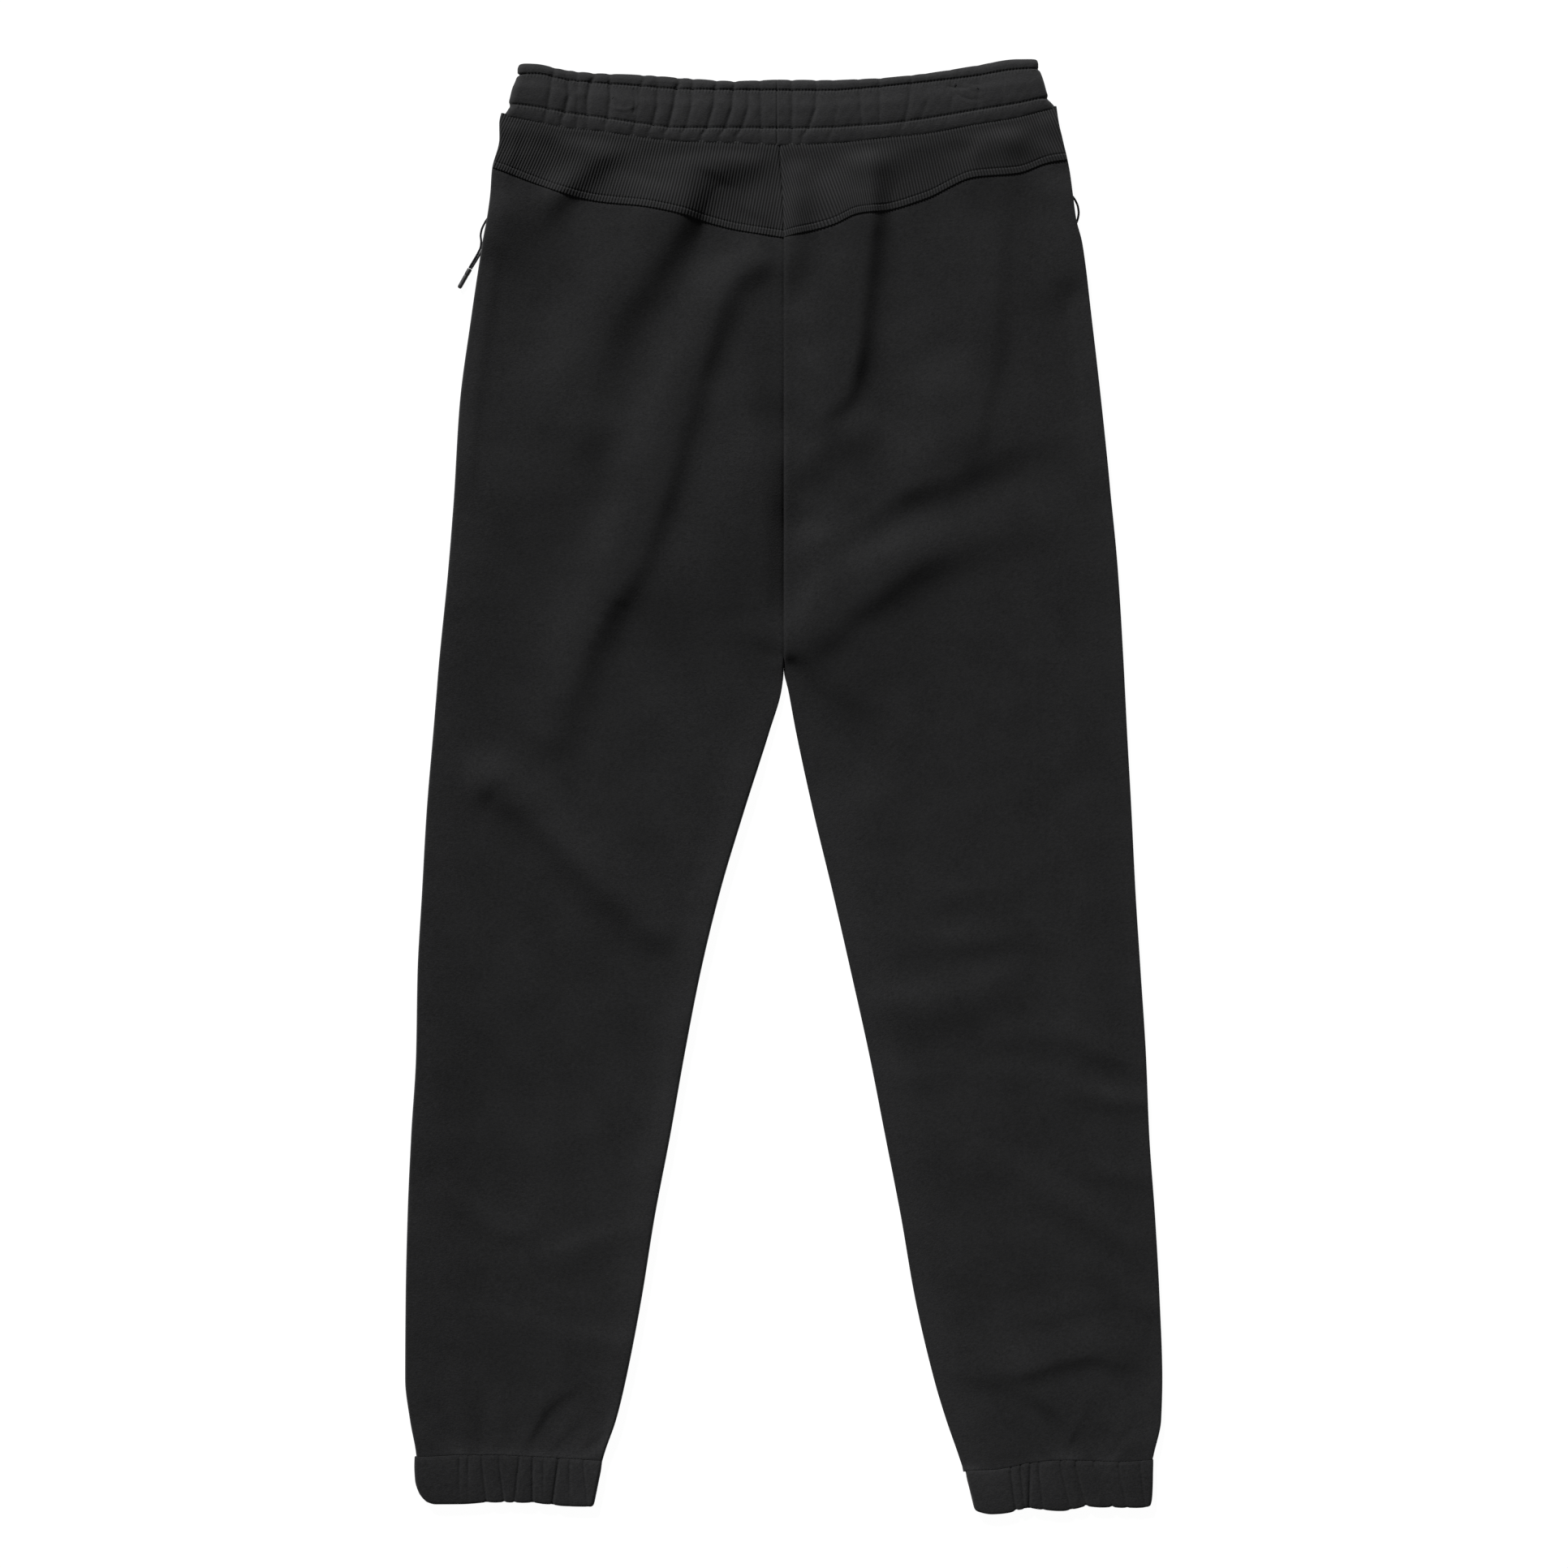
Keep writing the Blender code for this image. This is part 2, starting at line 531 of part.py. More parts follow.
def zip_edges(bm, first, second):
    """Fill the strip between two runs of vertices with triangles, whatever their counts."""
    def shares(run):
        steps = [0.0] + [(b.co - a.co).length for a, b in zip(run, run[1:])]
        total = np.cumsum(steps)
        return total / total[-1]

    one, two = shares(first), shares(second)
    i = j = 0
    while i < len(first) - 1 or j < len(second) - 1:
        step_first = j == len(second) - 1 or (i < len(first) - 1 and one[i + 1] <= two[j + 1])
        if step_first:
            bm.faces.new((first[i], first[i + 1], second[j]))
            i += 1
        else:
            bm.faces.new((first[i], second[j + 1], second[j]))
            j += 1


def wall(name, outer, inner, finish, closed=False):
    """Close an outer and an inner grid of points into one wall of cloth.

    The grids may have unlike counts. Their edges are joined all round, or, where the
    columns run in a closed ring, along the first and the last row.
    """
    bm = bmesh.new()
    out, lining = add_grid(bm, outer, closed), add_grid(bm, inner, closed)
    for row in (0, -1):
        ring = [0] if closed else []
        zip_edges(
            bm,
            out[row] + [out[row][k] for k in ring],
            lining[row] + [lining[row][k] for k in ring],
        )
    if not closed:
        for end in (0, -1):
            zip_edges(bm, [row[end] for row in out], [row[end] for row in lining])
    bmesh.ops.recalc_face_normals(bm, faces=bm.faces)
    mesh = bpy.data.meshes.new(name)
    bm.to_mesh(mesh)
    bm.free()
    mesh.shade_smooth()
    place(bpy.data.objects.new(name, mesh), finish)


# ---------------------------------------------------------------- panels

class Columns(NamedTuple):
    """The columns of a panel: each one's share of the flat face and its two turn angles."""

    face: np.ndarray
    outer_turn: np.ndarray
    inner_turn: np.ndarray
    turned_edges: int


def columns(turns, face, inner_turns):
    """Line up a panel's columns: the outer turn, the face and, where it has one, the inner turn."""
    quarter = pi / 2
    parts = [(0.0, share * quarter, quarter) for share in turns]
    parts += [(share, quarter, quarter) for share in face]
    parts += [(1.0, quarter, share * quarter) for share in reversed(inner_turns)]
    return Columns(*(np.array(values) for values in zip(*parts)), 2 if inner_turns else 1)


def across(side, cols, y):
    """x of each point of a panel whose columns run from the side seam inwards."""
    start, end = side_seam(side, y), inner_seam(side, y)
    inward = SIDES[side]
    face_width = np.abs(end - start) - cols.turned_edges * TURN_DEPTH
    turned = 1 - np.cos(cols.outer_turn) + np.cos(cols.inner_turn)
    return start + inward * (TURN_DEPTH * turned + cols.face * face_width)


def seam_heights(side, cols, line, guess):
    """Heights at which a panel's columns meet a seam, found by going there and back."""
    y = np.full(cols.face.shape, guess)
    for _ in range(SEAM_PASSES):
        y = line(across(side, cols, y))
    return y


class Panel(NamedTuple):
    """A grid of points over one half of the garment, before it has a height."""

    x: np.ndarray
    y: np.ndarray
    share: np.ndarray       # 1 where the cloth faces up or down, 0 at a turned edge
    lean: np.ndarray        # the part of its normal that points inwards


def panel_grid(side, cols, top, bottom, shares):
    """Lay rows out between two seams: each row is a blend of the two."""
    y_top = seam_heights(side, cols, top, TOP_GUESS)
    y_bottom = seam_heights(side, cols, bottom, BOTTOM_GUESS)
    shares = np.asarray(shares)[:, None]
    y = y_top * (1 - shares) + y_bottom * shares
    x = across(side, cols, y)
    inner_share = 1 - turn_share(y) * (1 - np.sin(cols.inner_turn))
    share = np.sin(cols.outer_turn) * inner_share
    inner_lean = np.sqrt(np.maximum(1 - inner_share ** 2, 0))
    lean = SIDES[side] * (np.cos(cols.outer_turn) - inner_lean * np.sin(cols.outer_turn))
    return Panel(x, y, share, lean)


def upper_layer(side, grid, raised=0.0):
    """The outer points of a back panel or yoke, `raised` off its plain form, and the lining's."""
    base = lift(side, grid.x, grid.y)
    up = rise(side, grid.x, grid.y)
    seam = bell(grid.x - inner_seam(side, grid.y), SEAT_GROOVE_WIDTH) * (1 - turn_share(grid.y))
    edge = TURN_HEIGHT + GAP / 2 + base
    top = MID_STACK + base + up
    cloth = CLOTH + CREST_CLOTH * np.maximum(up - CREST_FROM, 0) / (RISE_FREE + RISE_SOFT - CREST_FROM)
    z = edge + (top - edge) * grid.share
    out = raised - SEAT_GROOVE * seam
    outer = np.stack([grid.x - out * grid.lean, grid.y, z + out * grid.share], -1)
    lining = np.stack([grid.x + cloth * grid.lean, grid.y, z - cloth * grid.share], -1)
    return outer, lining


def lower_layer(side, grid, out=0.0):
    """Points of a front panel at a distance `out` from its outer face, the lining's if negative."""
    base = lift(side, grid.x, grid.y)
    edge = TURN_HEIGHT - GAP / 2 + base
    z = edge - (edge - base) * grid.share - out * grid.share
    return np.stack([grid.x - out * grid.lean, grid.y, z], -1)


def back_panel(side):
    """The back of one leg and seat, from the yoke's hem down to the cuff."""
    def grid(cols, coarse_rows, setback):
        def hem(x):
            return yoke_hem(side, x) - HEM_GAP / 2 - setback

        def cuff(x):
            return cuff_line(side, "seam", x) + HEM_GAP / 2 + setback

        near = np.linspace(0, BACK_FINE_END, BACK_FINE_ROWS + 1)
        rest = np.linspace(BACK_FINE_END, 1, coarse_rows + 1)[1:]
        return panel_grid(side, cols, hem, cuff, np.concatenate([near, rest]))

    fine = columns(TURN_FINE, BACK_FACE, TURN_FINE)
    coarse = columns(TURN_COARSE, BACK_LINING, TURN_COARSE)
    outer, _ = upper_layer(side, grid(fine, BACK_ROWS, 0.0))
    _, lining = upper_layer(side, grid(coarse, LINING_ROWS, LINING_SETBACK))
    wall("back_" + side, outer, lining, FLEECE)


def yoke(side):
    """The ribbed yoke of one side, between the waistband and the back panel.

    Two columns a rib carry crests and valleys on the outside. The lining is plain.
    """
    def grid(cols, setback):
        def top(x):
            return waist_line("bottom", x) - HEM_GAP / 2 - setback

        def hem(x):
            return yoke_hem(side, x) + HEM_GAP / 2 + setback

        return panel_grid(side, cols, top, hem, np.linspace(0, 1, YOKE_ROWS))

    turn = np.arange(2 * RIBS_ON_TURN) / (2 * RIBS_ON_TURN)
    face = np.linspace(0, 1, 2 * RIBS_ON_FACE + 1)
    ribbed = columns(turn, face, ())
    plain = columns(TURN_COARSE, np.linspace(0, 1, YOKE_LINING + 1), ())
    crests = YOKE_STEP + RIB_HEIGHT * (np.arange(len(ribbed.face)) % 2)
    outer, _ = upper_layer(side, grid(ribbed, 0.0), crests)
    _, lining = upper_layer(side, grid(plain, LINING_SETBACK))
    wall("yoke_" + side, outer, lining, FLEECE)


def front_panel(side):
    """The front of one leg, from the waistband to the cuff, and the zip tape on its side edge.

    The tape is made from the panel's own points, moved out from its face.
    """
    def top(x):
        return waist_line("bottom", x) - HEM_GAP / 2

    def cuff(x):
        return cuff_line(side, "seam", x) + HEM_GAP / 2

    cols = columns(TURN_COARSE, FRONT_FACE, TURN_COARSE)
    high, low = panel_grid(side, cols, top, cuff, (0.0, 1.0)).y[:, 0]
    slider_y = PULLERS[side].slider[1]
    zip_from, zip_to = ((high - slider_y + reach) / (high - low) for reach in (-ZIP_REACH[1], ZIP_REACH[0]))
    start, end = FRONT_FINE_SPAN
    close = np.linspace(start, end, FRONT_FINE_ROWS + 1)
    rest = 1 - (1 - end) * np.linspace(1, 0, FRONT_ROWS + 1)[1:] ** FRONT_CROWDING
    rows = np.unique(np.concatenate([[0, zip_from, zip_to], close, rest]))
    grid = panel_grid(side, cols, top, cuff, rows)
    outer, lining = (lower_layer(side, grid, out) for out in (0.0, -CLOTH))
    wall("front_" + side, outer, lining, FLEECE)

    taped = (rows >= zip_from) & (rows <= zip_to)
    part = Panel(*(values[taped, TAPE_COLUMNS] for values in grid))
    outer, lining = (lower_layer(side, part, out) for out in (GAP + ZIP_TAPE, GAP))
    wall("zip_tape_" + side, outer, lining, TAPE)


# ---------------------------------------------------------------- bands

def band(name, rows, lines, marks, gathers, middle, finish):
    """A puffed elastic band that goes all round, pressed flat.

    `lines` are the heights of its edges and stitch lines as functions of x, and `marks`
    the levels at which the gathers give their places. The upper wall puffs up between
    the lines and is pulled in at each gather. The lower wall lies flat.
    """
    levels, puff, base, left, right = (column(rows, key) for key in BandRow._fields)
    shift = BAND_TURN
    starts, ends = left + shift, right - shift
    creases = np.array([np.interp(levels, marks, gather.xs) for gather in gathers])
    anchors = np.vstack([starts, creases, ends])
    count = CREASE_COLUMNS * (len(anchors) - 1) + 1
    steps = np.arange(count) / CREASE_COLUMNS
    run = np.array([np.interp(steps, range(len(anchors)), anchors[:, i]) for i in range(len(rows))])
    channel = np.clip(np.ceil(levels) - 1, 0, len(lines) - 2).astype(int)
    pull = np.zeros(run.shape)
    for k, gather in enumerate(gathers):
        pull[:, CREASE_COLUMNS * (k + 1)] = np.array(gather.pulls)[channel]
    upper = BAND_SLIT / 2 + puff[:, None] * (1 - pull)
    lower = BAND_SLIT / 2 + base
    flat = np.linspace(0, 1, UNDER_COLUMNS)[1:-1]
    turn = np.linspace(0, pi, TURN_STEPS + 1)

    def height(x, level):
        i = np.clip(np.floor(level), 0, len(lines) - 2).astype(int)
        f = level - i
        values = np.array([line(x) for line in lines])
        return (np.take_along_axis(values, i[None], 0) * (1 - f)
                + np.take_along_axis(values, i[None] + 1, 0) * f)[0]

    def end_turn(x, way, top, angles):
        swing, tall = np.sin(angles), np.cos(angles)
        z = middle + np.where(tall > 0, top[:, None] * tall, lower[:, None] * tall)
        return x[:, None] + way * shift * swing, z

    right_x, right_z = end_turn(ends, 1, upper[:, -1], turn[1:])
    left_x, left_z = end_turn(starts, -1, upper[:, 0], turn[::-1][:-1])
    under_x = ends[:, None] + (starts - ends)[:, None] * flat
    under_z = middle - np.repeat(lower[:, None], len(flat), 1)
    x = np.hstack([run, right_x, under_x, left_x])
    z = np.hstack([middle + upper, right_z, under_z, left_z])
    y = height(x, np.repeat(levels[:, None], x.shape[1], 1))
    outer = np.stack([x, y, z], -1)

    plain = np.unique(np.round(levels)).astype(float)
    from_x, to_x = (np.interp(plain, levels, values)[:, None] for values in (starts, ends))
    there = np.linspace(0, 1, SLIT_COLUMNS)
    x = np.hstack([from_x + (to_x - from_x) * there, from_x + (to_x - from_x) * there[::-1]])
    z = middle + BAND_SLIT / 2 * np.repeat([1.0, -1.0], len(there)) + np.zeros(x.shape)
    y = height(x, np.repeat(plain[:, None], x.shape[1], 1))
    lining = np.stack([x, y, z], -1)
    wall(name, outer, lining, finish, closed=True)


def waistband():
    """The waistband: three puffed channels between its edges and two stitch lines."""
    def line(name, drop=0.0):
        return lambda x: waist_line(name, x) + drop

    lines = (line("top"), line("upper_stitch"), line("lower_stitch"), line("bottom", HEM_GAP / 2))
    band("waistband", WAIST_ROWS, lines, (0.5, 1.5, 2.5), WAIST_GATHERS, WAIST_MIDDLE, FLEECE_BAND)


def cuff(side):
    """A cuff: one puffed and gathered channel at the end of a leg."""
    lines = (
        lambda x: cuff_line(side, "free", x),
        lambda x: cuff_line(side, "seam", x) - HEM_GAP / 2,
    )
    band("cuff_" + side, CUFF_ROWS[side], lines, (0.0, 1.0), CUFF_GATHERS[side], CUFF_MIDDLE, FLEECE)


# ---------------------------------------------------------------- zip sliders and pullers

def slider(side):
    """The slider under the zip tape: a shield outline with a narrow nose, cut from plate."""
    width, length, thick = SLIDER_SIZE
    half, long_half = width / 2, length / 2
    outline = (
        (-half, long_half), (half, long_half), (half, 0.2 * long_half),
        (0.6 * half, -long_half), (-0.6 * half, -long_half), (-half, 0.2 * long_half),
    )
    curve = bpy.data.curves.new("zip_slider_" + side, "CURVE")
    curve.dimensions = "2D"
    curve.fill_mode = "BOTH"
    curve.extrude = thick / 2
    spline = curve.splines.new("POLY")
    spline.points.add(len(outline) - 1)
    for point, (x, y) in zip(spline.points, outline):
        point.co = (x, y, 0, 1)
    spline.use_cyclic_u = True
    item = bpy.data.objects.new(curve.name, curve)
    item.location = (*PULLERS[side].slider, SLIDER_Z + thick / 2)
    place(item, SLIDER)


def cord(name, route):
    """A round cord on a smooth curve through the points of its route."""
    route = np.array(route)
    lengths = np.concatenate([[0], np.cumsum(np.linalg.norm(np.diff(route, axis=0), axis=1))])
    at = np.linspace(0, lengths[-1], int(lengths[-1] / CORD_STEP) + 2)
    path = np.stack([through(lengths, route[:, k], at) for k in range(3)], -1)
    curve = bpy.data.curves.new(name, "CURVE")
    curve.dimensions = "3D"
    curve.bevel_depth = CORD_RADIUS
    curve.bevel_resolution = 2
    curve.use_fill_caps = True
    spline = curve.splines.new("POLY")
    spline.points.add(len(path) - 1)
    for point, co in zip(spline.points, path):
        point.co = (*co, 1)
    place(bpy.data.objects.new(name, curve), CORD)


def tip(side):
    """The moulded tip that closes a puller's cord: a turned rod, waisted and rounded off."""
    profile = (
        (0.0, 0.0), (0.94, 0.0), (1.0, 0.05), (1.0, 0.30), (0.92, 0.40),
        (0.92, 0.80), (0.80, 0.95), (0.45, 1.0), (0.0, 1.0),
    )
    mesh = bpy.data.meshes.new("puller_tip_" + side)
    points = [(radius * TIP_RADIUS, 0, -along * TIP_LENGTH) for radius, along in profile]
    mesh.from_pydata(points, [(k, k + 1) for k in range(len(points) - 1)], [])
    item = bpy.data.objects.new(mesh.name, mesh)
    screw = item.modifiers.new("turn", "SCREW")
    screw.steps = screw.render_steps = 12
    screw.use_merge_vertices = True
    screw.merge_threshold = 0.00005
    puller = PULLERS[side]
    heading = Vector((*puller.tip_heading, 0)).normalized()
    turn = (-heading).to_track_quat("Z", "Y").to_matrix().to_4x4()
    item.matrix_world = Matrix.Translation((*puller.tip_start, TIP_Z)) @ turn
    place(item, TIP)


def main():
    """Build the garment in an emptied scene."""
    for item in list(bpy.data.objects):
        bpy.data.objects.remove(item)
    group = bpy.data.collections.new(NAME)
    bpy.context.scene.collection.children.link(group)
    waistband()
    for side in SIDES:
        yoke(side)
        back_panel(side)
        front_panel(side)
        cuff(side)
        slider(side)
        cord(f"puller_cord_{side}_outer", PULLERS[side].outer)
        cord(f"puller_cord_{side}_inner", PULLERS[side].inner)
        tip(side)


main()
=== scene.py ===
"""Jogger sweatpants of fleece, lying flat with the back up: the looks around the fixed frame.

The garment lies in the XY plane with the waist towards +Y, and its front rests on the floor
at z = 0. Every size is in metres. Each sub-assembly is a class: the back and front leg
panels, the ribbed yokes, the waistband and cuffs, the stitching, and the pocket zips with
their cord pullers. A studio class makes the floor, the lights and the camera.
"""

from __future__ import annotations

import logging
from dataclasses import dataclass
from enum import Enum
from math import cos, pi, radians, sin, tau
from typing import Any, Callable, NamedTuple, Sequence

import bpy
import numpy as np
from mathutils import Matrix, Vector

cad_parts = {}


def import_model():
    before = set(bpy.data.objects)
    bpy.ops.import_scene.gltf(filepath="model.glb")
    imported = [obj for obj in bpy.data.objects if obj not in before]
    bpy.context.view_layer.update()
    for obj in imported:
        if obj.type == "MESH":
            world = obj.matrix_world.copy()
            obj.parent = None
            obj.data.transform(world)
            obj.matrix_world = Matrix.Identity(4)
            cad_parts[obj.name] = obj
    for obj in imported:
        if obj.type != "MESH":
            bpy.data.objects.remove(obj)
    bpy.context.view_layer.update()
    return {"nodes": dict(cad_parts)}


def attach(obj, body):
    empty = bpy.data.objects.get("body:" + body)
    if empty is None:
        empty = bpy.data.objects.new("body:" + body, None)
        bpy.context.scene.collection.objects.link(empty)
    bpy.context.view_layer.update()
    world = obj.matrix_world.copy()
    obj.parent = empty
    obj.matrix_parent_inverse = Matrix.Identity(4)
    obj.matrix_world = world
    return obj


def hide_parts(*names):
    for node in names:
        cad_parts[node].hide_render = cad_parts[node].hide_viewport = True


Array = np.ndarray
LOG = logging.getLogger("sweatpants")

TENTHS = 1e4               # how many tenths of a millimetre make up a metre
PASSES = 6                 # times a search for where a column meets a seam is repeated
CENTRE_X = 0.0004          # the seat seam


class Side(Enum):
    """One side of the garment as it lies. Its value is the way along x from there inwards."""

    LEFT = 1.0
    RIGHT = -1.0

    @property
    def key(self) -> str:
        """The side's name inside the names of pieces and columns."""
        return self.name.lower()


# ------ curves


def smooth(xs: Array, ys: Array, at: Array) -> Array:
    """Read a smooth curve through points.

    Each stretch is a cubic between two points. Its slope at a point is the harmonic mean of
    the two secants there, or 0 at a turn, so the curve never swings past its points.

    Args:
        xs: Places of the points, rising.
        ys: Values of the points.
        at: Where to read the curve. Beyond its ends it stays level.

    Returns:
        The values, in the shape of `at`.
    """
    xs, ys, at = (np.asarray(values, float) for values in (xs, ys, at))
    secant = np.diff(ys) / np.diff(xs)
    before, after = secant[:-1], secant[1:]
    same_way = before * after > 0
    middle = np.where(same_way, 2 * before * after / np.where(same_way, before + after, 1.0), 0.0)
    slope = np.concatenate([secant[:1], middle, secant[-1:]])
    i = np.clip(np.searchsorted(xs, at) - 1, 0, len(xs) - 2)
    span = xs[i + 1] - xs[i]
    f = np.clip((at - xs[i]) / span, 0, 1)
    ends = ys[i] * (1 + 2 * f) * (1 - f) ** 2 + ys[i + 1] * f * f * (3 - 2 * f)
    return ends + span * (slope[i] * f * (1 - f) ** 2 - slope[i + 1] * f * f * (1 - f))


def bell(distance: Array, reach: float | Array) -> Array:
    """1 at no distance, falling as the exponential of minus its square."""
    return np.exp(-((distance / reach) ** 2))


def ease(f: Array) -> Array:
    """Rise from 0 to 1 with level ends: 3 f squared minus 2 f cubed, clamped."""
    f = np.clip(f, 0, 1)
    return f * f * (3 - 2 * f)


def ripples(x: Array, y: Array, seed: int, shortest: float, longest: float, height: float) -> Array:
    """Gentle unevenness: sine waves of many lengths that run in random directions.

    Args:
        x, y: Where to read it.
        seed: Fixes the directions and phases.
        shortest, longest: Range of the wavelengths, in geometric steps.
        height: Typical height of the sum.

    Returns:
        The height at each place.
    """
    rng = np.random.default_rng(seed)
    lengths = np.geomspace(shortest, longest, 11)
    total = np.zeros(np.broadcast(x, y).shape)
    for length, angle, phase in zip(lengths, rng.uniform(0, pi, 11), rng.uniform(0, tau, 11)):
        total += np.sin(tau * (x * np.cos(angle) + y * np.sin(angle)) / length + phase)
    return height * total / np.sqrt(len(lengths) / 2)


class Table:
    """Rows of numbers with named columns, given in parts of their unit."""

    def __init__(self, names: str, rows: Sequence[Sequence[float]], parts: float = 1.0) -> None:
        self.names = names.split()
        self.rows = np.array(rows, float) / parts

    def __getitem__(self, name: str) -> Array:
        """One column."""
        return self.rows[:, self.names.index(name)]

    def read(self, name: str, at: Array) -> Array:
        """Read a column as a smooth curve of the first column."""
        return smooth(self.rows[:, 0], self[name], at)


# ------ pattern

# The numbers here, the tops in WAIST and the free edges in CUFF_EDGES were listed and then
# shifted a little by a separate program, and some were changed after that.
# x of the side seams and the inner seams, from the cuffs up
OUTLINE = Table("y left_side left_inner right_inner right_side", (
    (-4720, -2525, -1265, 1243, 2535),
    (-4600, -2537, -1231, 1203, 2563),
    (-4376, -2578, -1153, 1125, 2611),
    (-4096, -2611, -1085, 1041, 2619),
    (-3536, -2607, -977, 910, 2600),
    (-2976, -2594, -887, 813, 2569),
    (-2416, -2569, -780, 704, 2529),
    (-1856, -2535, -681, 594, 2506),
    (-1296, -2525, -572, 470, 2470),
    (-736, -2494, -437, 342, 2434),
    (-176, -2462, -270, 207, 2406),
    (384, -2415, -92, 86, 2375),
    (664, -2392, -11, 34, 2361),
    (804, -2381, 4, 4, 2354),
    (1504, -2312, 4, 4, 2311),
    (2064, -2268, 4, 4, 2257),
    (2624, -2233, 4, 4, 2199),
    (3184, -2160, 4, 4, 2135),
    (3744, -2075, 4, 4, 2064),
    (3912, -2043, 2, 2, 2021),
    (4080, -2022, -4, -4, 1998),
    (4248, -2011, -14, -14, 1977),
    (4472, -1959, -29, -29, 1927),
    (4570, -1960, -32, -32, 1904),
    (4700, -1930, -35, -35, 1885),
), TENTHS)
# heights of the waistband's edges and stitch lines and of the yokes' hem, from left to right
WAIST = Table("x top upper_stitch lower_stitch bottom yoke_hem", (
    (-2010, 4992, 4905, 4712, 4640, 4262),
    (-1904, 4990, 4906, 4704, 4614, 4225),
    (-1708, 4983, 4908, 4682, 4575, 4152),
    (-1484, 4940, 4866, 4640, 4528, 4074),
    (-1260, 4919, 4845, 4609, 4509, 4026),
    (-980, 4908, 4824, 4567, 4466, 3990),
    (-700, 4888, 4804, 4537, 4438, 3934),
    (-336, 4867, 4799, 4537, 4425, 3839),
    (CENTRE_X * TENTHS, 4875, 4795, 4534, 4412, 3777),
    (342, 4872, 4794, 4539, 4426, 3861),
    (515, 4879, 4806, 4551, 4441, 3934),
    (666, 4886, 4819, 4561, 4459, 3956),
    (980, 4917, 4852, 4600, 4491, 4049),
    (1316, 4969, 4892, 4656, 4553, 4194),
    (1613, 5015, 4939, 4705, 4603, 4222),
    (1820, 5016, 4948, 4746, 4656, 4292),
    (1971, 5016, 4950, 4760, 4690, 4315),
), TENTHS)
# heights of each cuff's free edge and of its seam with the leg
CUFF_EDGES = {
    Side.LEFT: Table("x free seam", (
        (-2540, -4950, -4630), (-2420, -4959, -4626), (-2229, -4958, -4617),
        (-2010, -4948, -4617), (-1742, -4951, -4628), (-1523, -4972, -4640),
        (-1260, -4978, -4656),
    ), TENTHS),
    Side.RIGHT: Table("x free seam", (
        (1260, -4983, -4724), (1440, -5028, -4719), (1562, -5020, -4702), (1686, -4992, -4673),
        (1932, -5007, -4653), (2100, -4980, -4656), (2300, -4985, -4664), (2542, -4984, -4651),
    ), TENTHS),
}
CROTCH_Y = 0.0804
SEAT_SPREAD = 0.0120       # above the crotch the inner edge begins to turn over, along this


class Pattern:
    """The garment's seams in plan."""

    @staticmethod
    def side_seam(side: Side, y: Array) -> Array:
        """x of the side seam at the height y."""
        return OUTLINE.read(f"{side.key}_side", y)

    @staticmethod
    def inner_seam(side: Side, y: Array) -> Array:
        """x of the seat seam at the height y, and of the inseam below it."""
        return OUTLINE.read(f"{side.key}_inner", y)

    @staticmethod
    def yoke_hem(side: Side, x: Array) -> Array:
        """Height of a yoke's hem. Each half is smooth, and they meet in a point."""
        own = (CENTRE_X - WAIST["x"]) * side.value >= 0
        return smooth(WAIST["x"][own], WAIST["yoke_hem"][own], x)

    @staticmethod
    def turn_share(y: Array) -> Array:
        """How far the inner edge turns over: 0 along the seat seam, 1 along the inseam."""
        return ease((CROTCH_Y + SEAT_SPREAD - y) / SEAT_SPREAD)


# ------ folds


